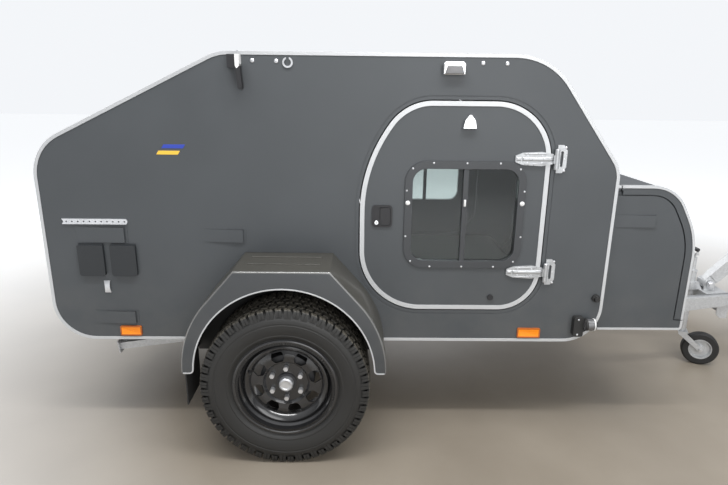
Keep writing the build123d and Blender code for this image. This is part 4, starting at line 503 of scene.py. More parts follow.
@dataclass
class Studio:
    """Floor, light and camera.

    Attributes:
        focal_px: Focal length in pixels of a picture 728 wide.
        eye: Place of the camera.
        pitch: Angle below the horizon.
        yaw: Turn from +Y towards +X.
        roll: Turn about the line of sight.
        picture_width: Width of that picture.
        sensor: Width of the camera's sensor in millimetres.
        hall_soft: Strength of the surroundings' soft light.
        hall_dark: Strength of a reflected horizon.
        hall_bright: Strength of a reflected ceiling.
        backdrop: Strength that the camera sees.
        floor_fade: Distances over which the floor turns white.
        floor_near: Darker and lighter tone of the floor close by.
        floor_far: Its tone far away.
        floor_glow: Light that it gives off there to the eye.
        lamps: Name, place, aim, size and power of each soft lamp.
    """

    focal_px: float = 549.3
    eye: Spot = (-0.7166, -3.045, 1.5806)
    pitch: float = 0.2717
    yaw: float = 0.0129
    roll: float = 0.0112
    picture_width: float = 728.0
    sensor: float = 36.0
    hall_soft: float = 0.55
    hall_dark: float = 0.25
    hall_bright: float = 0.9
    backdrop: float = 0.95
    floor_fade: Point = (1.7, 5.5)
    floor_near: tuple[Spot, Spot] = ((0.21, 0.18, 0.143), (0.29, 0.253, 0.205))
    floor_far: Spot = (0.93, 0.93, 0.93)
    floor_glow: Spot = (0.45, 0.46, 0.47)
    lamps: Sequence[tuple[str, Spot, Spot, Point, float]] = (
        ("sky_bank", (-0.5, -1.5, 5.2), (-0.5, 0.2, 0.6), (6.0, 3.5), 190.0),
        ("front_bank", (1.5, -6.0, 3.2), (0.0, 0.0, 0.8), (5.0, 2.5), 95.0),
        ("low_bank", (0.6, -5.0, 1.5), (0.0, 0.0, 0.6), (4.0, 1.2), 30.0),
        ("ceiling_strip", (-0.6, -2.2, 4.6), (-0.6, -1.0, 0.8), (5.0, 0.25), 110.0),
        ("back_bank", (-1.0, 5.5, 3.5), (0.0, 0.0, 0.8), (5.0, 2.5), 90.0),
    )

    def camera(self) -> None:
        """Set the camera where the photographer stood."""
        lens = bpy.data.cameras.new("photo_camera")
        lens.sensor_width = self.sensor
        lens.lens = self.focal_px / self.picture_width * self.sensor
        lens.clip_end = 100.0
        level = Vector((math.sin(self.yaw), math.cos(self.yaw), 0.0))
        forward = level * math.cos(self.pitch) - Vector((0.0, 0.0, math.sin(self.pitch)))
        flat = Vector((math.cos(self.yaw), -math.sin(self.yaw), 0.0))
        up = flat.cross(forward)
        right = flat * math.cos(self.roll) + up * math.sin(self.roll)
        top = up * math.cos(self.roll) - flat * math.sin(self.roll)
        turn = Matrix((right, top, -forward)).transposed().to_4x4()
        camera = bpy.data.objects.new("photo_camera", lens)
        camera.matrix_world = Matrix.Translation(self.eye) @ turn
        bpy.context.scene.collection.objects.link(camera)
        bpy.context.scene.camera = camera

    def world(self) -> None:
        """White surroundings for the camera, and a hall with a bright ceiling for reflections."""
        world = bpy.data.worlds.new("hall")
        world.use_nodes = True
        bpy.context.scene.world = world
        graph = Graph(world.node_tree, "Background")
        generated = graph.node("ShaderNodeTexCoord", {}, {}, "Generated")
        up = graph.node("ShaderNodeSeparateXYZ", {}, {0: generated}, 2)
        span = {"From Min": 0.05, "From Max": 0.75, "To Min": self.hall_dark, "To Max": self.hall_bright}
        hall = graph.node("ShaderNodeMapRange", {}, {"Value": up, **span})
        clear = graph.limited(graph.ray("Camera") + graph.ray("Transmission"), 0.0, 1.0)
        level = graph.ray("Glossy") * (hall - self.hall_soft) + self.hall_soft
        graph.set(Color=(0.95, 0.97, 1.0, 1.0), Strength=clear * (self.backdrop - level) + level)

    def lamp(self, name: str, place: Spot, aim: Spot, size: Point, watts: float) -> None:
        """Hang one soft lamp.

        Args:
            name: The lamp's name.
            place: Where it hangs.
            aim: Where it points.
            size: Its width and height.
            watts: Its power.
        """
        light = bpy.data.lights.new(name, "AREA")
        light.shape = "RECTANGLE"
        light.size, light.size_y = size
        light.energy = watts
        holder = bpy.data.objects.new(name, light)
        holder.location = place
        holder.rotation_euler = (Vector(aim) - Vector(place)).to_track_quat("-Z", "Y").to_euler()
        bpy.context.scene.collection.objects.link(holder)

    def floor(self) -> None:
        """Lay the pale floor."""
        fresh()
        bpy.ops.mesh.primitive_plane_add(size=60.0, location=(0.0, 0.0, 0.0))
        ground = bpy.context.object
        ground.name = "floor"
        material = bpy.data.materials.new("pale_floor")
        material.use_nodes = True
        graph = Graph(material.node_tree)
        reach = graph.node("ShaderNodeVectorMath", {"operation": "LENGTH"}, {0: graph.place()}, "Value")
        away = graph.limited(reach, *self.floor_fade)
        near = graph.mixed(graph.patches(1.2, 6.0), *self.floor_near)
        seen = graph.ray("Camera") + graph.ray("Glossy") + graph.ray("Transmission")
        glow = graph.limited(seen * away, 0.0, 1.0)
        graph.set(
            Base_Color=graph.mixed(away, near, self.floor_far),
            Emission_Color=graph.mixed(glow, (0.0, 0.0, 0.0), self.floor_glow),
            Emission_Strength=1.0,
            Roughness=0.42,
        )
        ground.data.materials.append(material)

    def build(self) -> None:
        """Set up everything round the trailer."""
        self.camera()
        self.world()
        self.floor()
        for row in self.lamps:
            self.lamp(*row)
        bpy.context.scene.view_settings.view_transform = "Standard"


# ---------------------------------------------------------------- workbench


def fresh() -> None:
    """Leave edit mode and deselect everything."""
    if bpy.context.mode != "OBJECT":
        bpy.ops.object.mode_set(mode="OBJECT")
    bpy.ops.object.select_all(action="DESELECT")


def work_on(*pieces: Piece) -> None:
    """Select some pieces, with the first one active."""
    fresh()
    for piece in pieces:
        piece.select_set(True)
    bpy.context.view_layer.objects.active = pieces[0]


@contextmanager
def editing(piece: Piece, action: str = "DESELECT") -> Iterator[bmesh.types.BMesh]:
    """Edit mode on one piece, with nothing or everything selected at first."""
    work_on(piece)
    bpy.ops.object.mode_set(mode="EDIT")
    bpy.ops.mesh.select_mode(type="VERT")
    bpy.ops.mesh.select_all(action=action)
    yield bmesh.from_edit_mesh(piece.data)
    bpy.ops.object.mode_set(mode="OBJECT")


def pick_faces(mesh: bmesh.types.BMesh, test: Test) -> None:
    """Select the faces whose middle and normal pass a test."""
    bpy.ops.mesh.select_mode(type="FACE")
    for face in mesh.faces:
        face.select_set(test(face.calc_center_median(), face.normal))


def pick_edges(mesh: bmesh.types.BMesh, test: Test) -> None:
    """Select the edges whose middle and direction pass a test."""
    bpy.ops.mesh.select_mode(type="EDGE")
    for edge in mesh.edges:
        one, two = edge.verts
        edge.select_set(test((one.co + two.co) / 2, (two.co - one.co).normalized()))


def settle(piece: Piece) -> Piece:
    """Put a piece's place, turn and scale into its mesh."""
    work_on(piece)
    bpy.ops.object.transform_apply(location=True, rotation=True, scale=True)
    return piece


def named(name: str) -> Piece:
    """Name the active object."""
    piece = bpy.context.object
    piece.name = name
    return piece


def block(name: str, low: Sequence[float], high: Sequence[float]) -> Piece:
    """A block between two corners, to be shaped further.

    Args:
        name: The piece's name.
        low: Lowest corner.
        high: Highest corner.

    Returns:
        The new piece.
    """
    fresh()
    middle = [(a + b) / 2 for a, b in zip(low, high)]
    bpy.ops.mesh.primitive_cube_add(size=1.0, location=middle)
    piece = named(name)
    piece.scale = [b - a for a, b in zip(low, high)]
    return settle(piece)


def rod(name: str, centre: Sequence[float], radius: float, length: float, sides: int) -> Piece:
    """A bar along Y, to be shaped further.

    Args:
        name: The piece's name.
        centre: Its middle.
        radius: Its radius.
        length: Its length.
        sides: Number of sides.

    Returns:
        The new piece.
    """
    fresh()
    bpy.ops.mesh.primitive_cylinder_add(
        vertices=sides, radius=radius, depth=length, location=centre, rotation=(math.pi / 2, 0.0, 0.0)
    )
    return settle(named(name))


def ease(piece: Piece, width: float, test: Test | None = None, segments: int = 2) -> Piece:
    """Bevel the edges that pass a test, or all the sharp ones."""
    with editing(piece) as mesh:
        if test is None:
            bpy.ops.mesh.select_mode(type="EDGE")
            for edge in mesh.edges:
                edge.select_set(len(edge.link_faces) == 2 and edge.calc_face_angle() > 0.5)
        else:
            pick_edges(mesh, test)
        bpy.ops.mesh.bevel(offset=width, segments=segments, affect="EDGES")
    return piece


def inset_and_push(piece: Piece, test: Test, rim: float, push: Sequence[float]) -> Piece:
    """Inset the faces that pass a test, and move the inset faces."""
    with editing(piece) as mesh:
        pick_faces(mesh, test)
        bpy.ops.mesh.inset(thickness=rim, depth=0.0)
        bpy.ops.transform.translate(value=push)
    return piece


def shifted(piece: Piece, test: Test, move: Sequence[float]) -> Piece:
    """Move the faces that pass a test."""
    with editing(piece) as mesh:
        pick_faces(mesh, test)
        bpy.ops.transform.translate(value=move)
    return piece


def scaled(piece: Piece, test: Test, scale: Sequence[float]) -> Piece:
    """Scale the faces that pass a test about their middle."""
    with editing(piece) as mesh:
        pick_faces(mesh, test)
        bpy.ops.transform.resize(value=scale)
    return piece


def faces_out(_middle: Vector, normal: Vector) -> bool:
    """Test for faces that look out to the right."""
    return normal.y < -0.9


def faces_up(_middle: Vector, normal: Vector) -> bool:
    """Test for faces that look up."""
    return normal.z > 0.9


def drawn(name: str, spots: Sequence[Vector]) -> Piece:
    """A line of edges through some points, extruded from its first one."""
    fresh()
    bpy.ops.mesh.primitive_plane_add(size=0.01, location=spots[0])
    piece = settle(named(name))
    with editing(piece, "SELECT"):
        bpy.ops.mesh.merge(type="CENTER")
        for here, there in zip(spots, spots[1:]):
            bpy.ops.mesh.extrude_region_move(TRANSFORM_OT_translate={"value": there - here})
    return piece


def turned(
    name: str,
    section: Sequence[Point],
    centre: Sequence[float],
    axis: str = "Y",
    steps: int = 96,
    closed: bool = True,
) -> Piece:
    """Extrude a section from one corner and spin it round an axis.

    Args:
        name: The piece's name.
        section: Pairs of distance along the axis and radius.
        centre: Where the axis passes.
        axis: X or Y or Z.
        steps: Steps of the spin.
        closed: Whether the section's ends are joined.

    Returns:
        The turned piece.
    """
    along = {"X": Vector((1, 0, 0)), "Y": Vector((0, 1, 0)), "Z": Vector((0, 0, 1))}[axis]
    out = Vector((0, 0, 1)) if axis != "Z" else Vector((1, 0, 0))
    spots = [Vector(centre) + along * a + out * r for a, r in section]
    if closed:
        spots.append(spots[0])
    piece = drawn(name, spots)
    with editing(piece, "SELECT"):
        bpy.ops.mesh.spin(steps=steps, angle=math.tau, center=centre, axis=along)
    return tidy(piece, 1e-5)


def tidy(piece: Piece, merge: float = 1e-6) -> Piece:
    """Merge doubles, close poles and turn the faces outward."""
    with editing(piece, "SELECT"):
        bpy.ops.mesh.remove_doubles(threshold=merge)
        bpy.ops.mesh.dissolve_degenerate(threshold=merge)
        bpy.ops.mesh.normals_make_consistent(inside=False)
    return piece


def smooth(piece: Piece, degrees: float = 35.0) -> Piece:
    """Shade smooth, with sharp edges past an angle."""
    work_on(piece)
    bpy.ops.object.shade_smooth_by_angle(angle=math.radians(degrees))
    return piece


def apply_all(piece: Piece) -> Piece:
    """Apply a piece's modifiers in order."""
    work_on(piece)
    for modifier in list(piece.modifiers):
        bpy.ops.object.modifier_apply(modifier=modifier.name)
    return piece


def flipped(piece: Piece, name: str) -> Piece:
    """The copy of a piece on the trailer's other side, with its own mesh."""
    work_on(piece)
    bpy.ops.object.duplicate(linked=False)
    made = named(name)
    made.scale = (1.0, -1.0, 1.0)
    return tidy(settle(made))


def ringed(piece: Piece, centre: Sequence[float], count: int) -> Piece:
    """Repeat a piece round an axis along Y.

    Args:
        piece: The piece, settled.
        centre: A point on the axis.
        count: How many there are in the full ring.

    Returns:
        The same piece, now the whole ring.
    """
    bpy.context.scene.cursor.location = centre
    work_on(piece)
    bpy.ops.object.origin_set(type="ORIGIN_CURSOR")
    pivot = bpy.data.objects.new("pivot", None)
    bpy.context.scene.collection.objects.link(pivot)
    pivot.location = centre
    pivot.rotation_euler = (0.0, math.tau / count, 0.0)
    bpy.context.view_layer.update()
    array = piece.modifiers.new("ring", "ARRAY")
    array.count = count
    array.use_relative_offset = False
    array.use_object_offset = True
    array.offset_object = pivot
    apply_all(piece)
    bpy.data.objects.remove(pivot)
    return settle(piece)


def arc(centre: Point, radius: float, start: float, end: float, steps: int) -> list[Point]:
    """Points of an arc between two angles in degrees, both ends included."""
    angles = [math.radians(start + (end - start) * step / steps) for step in range(steps + 1)]
    return [(centre[0] + radius * math.cos(a), centre[1] + radius * math.sin(a)) for a in angles]


def resampled(path: Sequence[Point], count: int) -> list[Point]:
    """Points at even steps along a path."""
    lengths = [math.dist(a, b) for a, b in zip(path, path[1:])]
    total, spots, index, start = sum(lengths), [], 0, 0.0
    for step in range(count):
        goal = total * step / (count - 1)
        while index < len(lengths) - 1 and start + lengths[index] < goal:
            start += lengths[index]
            index += 1
        share = min((goal - start) / lengths[index], 1.0)
        spots.append(tuple(a + (b - a) * share for a, b in zip(path[index], path[index + 1])))
    return spots


def rowed(piece: Piece, count: int, step: Sequence[float]) -> Piece:
    """Repeat a piece in a straight row."""
    array = piece.modifiers.new("row", "ARRAY")
    array.count = count
    array.use_relative_offset = False
    array.use_constant_offset = True
    array.constant_offset_displace = step
    return apply_all(piece)


def joined(name: str, *pieces: Piece) -> Piece:
    """Join pieces into the first one."""
    work_on(*pieces)
    bpy.ops.object.join()
    return named(name)


def rolled(piece: Piece, degrees: float, centre: Sequence[float], axis: str = "Y") -> Piece:
    """Turn a piece about an axis through a point."""
    spin = Matrix.Rotation(math.radians(degrees), 4, axis)
    move = Matrix.Translation(centre)
    piece.matrix_world = move @ spin @ move.inverted() @ piece.matrix_world
    return settle(piece)


SIDES = ("right", "left")
BODY = ("trailer_body", "trailer_body")
DOORS = ("door_right", "door_left")
WHEELS = ("wheel_right", "wheel_left")


@dataclass
class Shop:
    """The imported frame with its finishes, and the measures that the pieces share."""

    frame: dict
    paints: Paints
    made: int = 0

    def __post_init__(self) -> None:
        """Read the places that everything is measured from."""
        low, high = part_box("tyre_right")
        self.hub = (low + high) / 2
        self.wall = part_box("side_panel_right")[0].y
        self.homes = {
            node: body["name"] if isinstance(body, dict) else body
            for body, nodes in self.frame["record"]["behaviour"]["bodies"].items()
            for node in nodes
        }

    def x(self, from_axle: float) -> float:
        """Place along the trailer of a distance in millimetres ahead of the wheels."""
        return self.hub.x + from_axle / 1000

    def from_hub(self, spot: Vector) -> float:
        """Distance of a point from the wheels' axis."""
        return math.hypot(spot.x - self.hub.x, spot.z - self.hub.z)

    def out(self, proud: float) -> float:
        """Y of a distance in millimetres out from the right wall's face."""
        return self.wall - proud / 1000

    def paint(self, piece: Piece, *finishes: str) -> None:
        """Give a piece its finishes, in order."""
        piece.data.materials.clear()
        for finish in finishes:
            piece.data.materials.append(self.paints[finish])

    def spot(self, from_axle: float, proud: float, z: float) -> Spot:
        """A point ahead of the wheels and out from the wall in millimetres, at a height in metres."""
        return self.x(from_axle), self.out(proud), z

    def hand_in(self, piece: Piece, body: str, slot: str, finish: str = "", angle: float = 35.0) -> None:
        """Dress a piece, smooth it and hang it on its body.

        Args:
            piece: The finished mesh.
            body: The body that it rides on.
            slot: The record's material slot that it takes after; not used.
            finish: Name of its finish, unless it is dressed already.
            angle: Angle past which its edges stay sharp.
        """
        if finish:
            self.paint(piece, finish)
        smooth(piece, angle)
        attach(piece, body)
        self.made += 1
        LOG.info("%s on %s, %d faces", piece.name, body, len(piece.data.polygons))

    def both(self, piece: Piece, slot: str, finish: str, bodies: tuple[str, str] = BODY) -> None:
        """Hand in a right-hand piece and its copy on the left.

        Args:
            piece: The right-hand piece, named with the ending _right.
            slot: The record's material slot.
            finish: Name of the finish.
            bodies: The bodies of the right and the left piece.
        """
        twin = flipped(piece, piece.name.replace("_right", "_left"))
        for made, body in zip((piece, twin), bodies):
            self.hand_in(made, body, slot, finish)


# ---------------------------------------------------------------- skins


@dataclass
class Skin:
    """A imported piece's own surface with its sharp edges eased, painted zone by zone.

    Attributes:
        node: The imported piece.
        width: Width of the eased edges.
        finish: Finish of all that no zone names.
        zones: Tests on a face's middle and normal, each with its finish.
        slot: The record's slot.
        segments: Facets across an eased edge.
        flat: Angle in degrees up to which neighbouring faces count as one.
        sharp: Angle in degrees past which an edge is eased.
    """

    node: str
    width: float
    finish: str
    slot: str
    zones: Sequence[tuple[Test, str]] = ()
    segments: int = 2
    flat: float = 0.6
    sharp: float = 40.0

    def build(self, shop: Shop) -> None:
        """Copy, merge, ease and paint the surface."""
        source = shop.frame["nodes"][self.node]
        piece = bpy.data.objects.new(f"{self.node}.skin", source.data.copy())
        bpy.context.scene.collection.objects.link(piece)
        with editing(piece, "SELECT"):
            bpy.ops.mesh.customdata_custom_splitnormals_clear()
            bpy.ops.mesh.remove_doubles(threshold=2e-6)
            bpy.ops.mesh.normals_make_consistent(inside=False)
            if self.flat:
                bpy.ops.mesh.dissolve_limited(angle_limit=math.radians(self.flat))
        if self.width:
            bevel = piece.modifiers.new("ease", "BEVEL")
            bevel.width = self.width
            bevel.segments = self.segments
            bevel.limit_method = "ANGLE"
            bevel.angle_limit = math.radians(self.sharp)
            bevel.use_clamp_overlap = True
            bevel.harden_normals = False
            apply_all(piece)
        names = list(dict.fromkeys([self.finish, *(finish for _, finish in self.zones)]))
        shop.paint(piece, *names)
        for face in piece.data.polygons:
            for test, finish in self.zones:
                if test(face.center, face.normal):
                    face.material_index = names.index(finish)
                    break
        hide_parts(self.node)
        shop.hand_in(piece, shop.homes[self.node], self.slot, angle=32.0)
        work_on(piece)
        even = piece.modifiers.new("even", "WEIGHTED_NORMAL")
        even.keep_sharp = True
        apply_all(piece)


def within(low: Sequence[float], high: Sequence[float]) -> Test:
    """Test for faces whose middle lies in a box on either side of the trailer."""

    def test(middle: Vector, _normal: Vector) -> bool:
        spot = (middle.x, abs(middle.y), middle.z)
        return all(a <= value <= b for a, value, b in zip(low, spot, high))

    return test


# ---------------------------------------------------------------- wheels


@dataclass
class Lug:
    """One tread block of a pitch, bent in its middle.

    Attributes:
        near: Distance of one end from the tread's middle.
        far: Distance of the other end, the greater.
        length: Length round the tyre.
        lag: Place in the pitch, from 0 to 1.
        kink: How far its middle lies ahead of its ends.
        sunk: How far its top lies under the tyre's radius.
        drop: How far its outer end runs down the tyre's wall.
    """

    near: float
    far: float
    length: float
    lag: float
    kink: float
    sunk: float = 0.0
    drop: float = 0.0


@dataclass
class Tyre:
    """All-terrain tyre: carcass with ribbed walls, and rings of tread blocks.

    Attributes:
        radius: Radius over the middle blocks.
        base_radius: Radius that the blocks stand on.
        pitches: Repeats of the tread round the tyre.
        sink: How far a block goes into the carcass.
        sipe: Width of a block's cut.
        shoulder_step: How far a shoulder block leans out over its drop.
        crown: Radius of the carcass in its middle.
        wall: Outer section, as distance from the middle and radius, from the bead up.
        liner: Inner section, from the crown down.
    """

    radius: float = 0.3614
    base_radius: float = 0.3515
    pitches: int = 30
    sink: float = 0.006
    sipe: float = 0.0014
    shoulder_step: float = 0.005
    crown: float = 0.3525
    wall: Sequence[Point] = (
        (0.0965, 0.2034), (0.0975, 0.2262), (0.1030, 0.2335), (0.1078, 0.2385), (0.1100, 0.2440),
        (0.1092, 0.2475), (0.1120, 0.2560), (0.1158, 0.2720), (0.1172, 0.2850), (0.1175, 0.2925),
        (0.1163, 0.2940), (0.1161, 0.3000), (0.1172, 0.3016), (0.1160, 0.3100), (0.1138, 0.3185),
        (0.1110, 0.3215), (0.1070, 0.3300), (0.0990, 0.3380), (0.0870, 0.3455), (0.0700, 0.3500),
        (0.0400, 0.3520),
    )
    liner: Sequence[Point] = (
        (0.0, 0.3380), (0.0760, 0.3340), (0.0950, 0.3200), (0.1020, 0.2900), (0.0930, 0.2560),
        (0.0760, 0.2320), (0.0740, 0.2034),
    )
    lugs: Sequence[Lug] = (
        *(Lug(0.0020, 0.0330, 0.0265, lag, 0.006) for lag in (0.0, 0.5)),
        *(Lug(-0.0330, -0.0020, 0.0265, lag, -0.006) for lag in (0.25, 0.75)),
        *(Lug(0.0385, 0.0735, 0.0255, lag, -0.0075, 0.0006) for lag in (0.15, 0.65)),
        *(Lug(-0.0735, -0.0385, 0.0255, lag, 0.0075, 0.0006) for lag in (0.4, 0.9)),
        Lug(0.0790, 0.1075, 0.0275, 0.02, 0.005, 0.0032, 0.030),
        Lug(0.0790, 0.1075, 0.0245, 0.52, 0.005, 0.0032, 0.019),
        Lug(-0.1075, -0.0790, 0.0275, 0.27, -0.005, 0.0032, 0.030),
        Lug(-0.1075, -0.0790, 0.0245, 0.77, -0.005, 0.0032, 0.019),
    )

    def carcass(self, name: str, hub: Vector) -> Piece:
        """Spin the tyre's section."""
        left = [(-t, r) for t, r in (*reversed(self.wall), *reversed(self.liner[1:]))]
        return turned(name, [*self.wall, (0.0, self.crown), *left, *self.liner], hub, "Y", 120)

    def block(self, lug: Lug, hub: Vector) -> Piece:
        """Model one tread block at the top of the tyre, bent and sliced by its sipe."""
        top = hub.z + self.radius - lug.sunk
        half, across = lug.length / 2, (lug.far - lug.near) / 2
        sign = 1.0 if lug.near > 0 else -1.0
        start = hub.y + (lug.near if sign > 0 else lug.far)
        piece = block(
            "lug",
            (hub.x - half, min(start, start + sign * across), hub.z + self.base_radius - self.sink),
            (hub.x - self.sipe / 2, max(start, start + sign * across), top),
        )
        with editing(piece) as mesh:
            pick_faces(mesh, lambda _m, n: n.y * sign > 0.9)
            bpy.ops.transform.translate(value=(lug.kink, 0.0, 0.0))
            bpy.ops.mesh.extrude_region_move(
                TRANSFORM_OT_translate={"value": (-lug.kink, sign * across, 0.0)}
            )
            if lug.drop:
                bpy.ops.mesh.extrude_region_move(
                    TRANSFORM_OT_translate={"value": (0.0, sign * self.shoulder_step, -lug.drop)}
                )
                outer = 0.1
                pick_edges(
                    mesh, lambda m, d: abs(d.x) > 0.9 and m.z > top - 0.001 and (m.y - hub.y) * sign > outer
                )
                bpy.ops.mesh.bevel(offset=0.005, segments=2, affect="EDGES")
        ease(piece, 0.0012, lambda m, d: m.z > top - 0.002 and abs(d.z) < 0.3, 1)
        rowed(piece, 2, (half + self.sipe / 2, 0.0, 0.0))
        return rolled(piece, lug.lag * 360 / self.pitches, hub, "Y")

    def build(self, shop: Shop, side: Side) -> None:
        """Model one tyre and hang it on its wheel."""
        hub = Vector((shop.hub.x, side.value * abs(shop.hub.y), shop.hub.z))
        ring = joined("lugs", *[self.block(lug, hub) for lug in self.lugs])
        ringed(ring, hub, self.pitches)
        tyre = joined(f"tyre.{side.tag}", self.carcass("carcass", hub), ring)
        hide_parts(f"tyre_{side.tag}")
        shop.hand_in(tyre, f"wheel_{side.tag}", "road_tyre", "tyre_rubber", 30.0)


@dataclass
class WheelFace:
    """Rolled lip and shoulder of the steel wheel, and its valve.

    Attributes:
        lip: Section of the lip, as distance in from the rim's face and radius.
        shoulder: Section of the rolled shoulder round the disc.
        valve_radius: Distance of the valve from the axis.
        valve_set: How far the valve's foot lies in from the rim's face.
    """

    lip: Sequence[Point] = (
        (0.0030, 0.2088), (-0.0010, 0.2090), (-0.0036, 0.2112), (-0.0046, 0.2150), (-0.0040, 0.2190),
        (-0.0016, 0.2218), (0.0030, 0.2222),
    )
    shoulder: Sequence[Point] = (
        (0.0530, 0.1500), (0.0450, 0.1535), (0.0370, 0.1610), (0.0310, 0.1680), (0.0285, 0.1735),
        (0.0300, 0.1785), (0.0350, 0.1815), (0.0540, 0.1830), (0.0560, 0.1780), (0.0400, 0.1770),
        (0.0350, 0.1735), (0.0410, 0.1650), (0.0560, 0.1540),
    )
    valve: Sequence[Point] = (
        (0.0, 0.0), (0.0, 0.0045), (-0.010, 0.006), (-0.024, 0.0055), (-0.027, 0.004), (-0.027, 0.0)
    )
    valve_turn: float = 160.0
    valve_radius: float = 0.160
    valve_set: float = 0.046

    def build(self, shop: Shop) -> None:
        """Model the right wheel's fittings and their copies on the left."""
        hub = Vector((shop.hub.x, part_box("rim_right")[0].y, shop.hub.z))
        for name, section in (("rim_lip_right", self.lip), ("rim_shoulder_right", self.shoulder)):
            shop.both(turned(name, section, hub), "black_steel", "gloss_black", WHEELS)
        turn = math.radians(self.valve_turn)
        out = Vector((math.cos(turn), 0.0, math.sin(turn))) * self.valve_radius
        foot = hub + out + Vector((0.0, self.valve_set, 0.0))
        stem = turned("valve_right", self.valve, foot, "Y", 20, closed=False)
        shop.both(stem, "black_rubber", "black_rubber", WHEELS)


# ---------------------------------------------------------------- side wall


@dataclass(frozen=True)
class DomeScrew:
    """A size of domed screw head, for a wall on the right.

    Attributes:
        radius: Its radius.
        rise: How far it stands out.
        shape: Its section, as shares of the rise and of the radius.
    """

    radius: float = 0.004
    rise: float = 0.0022
    shape: Sequence[Point] = (
        (0.0, 0.0), (0.0, 1.0), (-0.4, 1.0), (-0.85, 0.62), (-0.9, 0.34), (-0.45, 0.3), (-0.45, 0.0)
    )

    def build(self, place: Sequence[float]) -> Piece:
        """Model one head."""
        section = [(out * self.rise, share * self.radius) for out, share in self.shape]
        return turned("head", section, place, "Y", 16, closed=False)

    def row(self, name: str, places: Sequence[Sequence[float]]) -> Piece:
        """Join the heads at some places into one piece."""
        return joined(name, *[self.build(place) for place in places])


@dataclass
class RoofLineScrews:
    """Bright screws under the roof edge.

    Attributes:
        spots: Distance ahead of the wheels in millimetres and height in metres of each.
        head: Their size.
    """

    spots: Sequence[Point] = ((-128.0, 1.688), (-32.0, 1.687), (803.0, 1.688), (901.0, 1.687))
    head: DomeScrew = DomeScrew(0.0082, 0.005)

    def build(self, shop: Shop) -> None:
        """Model the screws of both sides."""
        row = self.head.row("roof_line_screws_right", [shop.spot(x, 0, z) for x, z in self.spots])
        shop.both(row, "zinc_plate", "bright_zinc")


@dataclass
class WindowFittings:
    """Screws, caps and pane latch on the door window's flange.

    Attributes:
        inset: Distance of the screws from the flange's edge.
        across: Shares of the width where a screw sits at foot and head.
        aside: Shares of the height where one sits at both ends.
        corner: Distance of the corner screws in from the lines of the others.
        screw: Size of the screws.
        cap: Size of the two caps.
        cap_set: Distance of a cap in from the screws' line.
        caps_up: Share of the height where caps and latch sit.
        latch: Width and height of the latch.
        latch_set: How far its face and its back lie in from the flange's face.
    """

    inset: float = 0.0075
    across: Sequence[float] = (0.22, 0.5, 0.78)
    aside: Sequence[float] = (0.3, 0.74)
    corner: float = 0.024
    screw: DomeScrew = DomeScrew(0.0042)
    cap: DomeScrew = DomeScrew(0.010, 0.006)
    cap_set: float = 0.006
    caps_up: float = 0.62
    latch: Point = (0.010, 0.030)
    latch_set: Point = (0.002, 0.012)

    def build(self, shop: Shop) -> None:
        """Model the fittings of both doors."""
        low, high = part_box("window_frame_right")
        x0, x1 = low.x + self.inset, high.x - self.inset
        z0, z1 = low.z + self.inset, high.z - self.inset
        spots = [(x0 + share * (x1 - x0), z) for share in self.across for z in (z0, z1)]
        spots += [(x, z0 + share * (z1 - z0)) for share in self.aside for x in (x0, x1)]
        cut = self.corner
        spots += [(x, z) for z in (z0 + cut, z1 - cut) for x in (x0 + cut, x1 - cut)]
        heads = self.screw.row("window_screws_right", [(x, low.y, z) for x, z in spots])
        shop.both(heads, "zinc_plate", "bright_zinc", DOORS)
        z = low.z + self.caps_up * (high.z - low.z)
        ends = (x0 + self.cap_set, x1 - self.cap_set)
        caps = self.cap.row("window_caps_right", [(x, low.y, z) for x in ends])
        shop.both(caps, "bright_edge", "white_cap", DOORS)
        middle, half, reach = (low.x + high.x) / 2, *(value / 2 for value in self.latch)
        face, back = (low.y + depth for depth in self.latch_set)
        tab = block("pane_latch_right", (middle - half, face, z - reach), (middle + half, back, z + reach))
        inset_and_push(tab, faces_out, 0.0022, (0.0, -0.003, 0.0))
        shop.both(ease(tab, 0.0012), "bright_edge", "white_cap", DOORS)


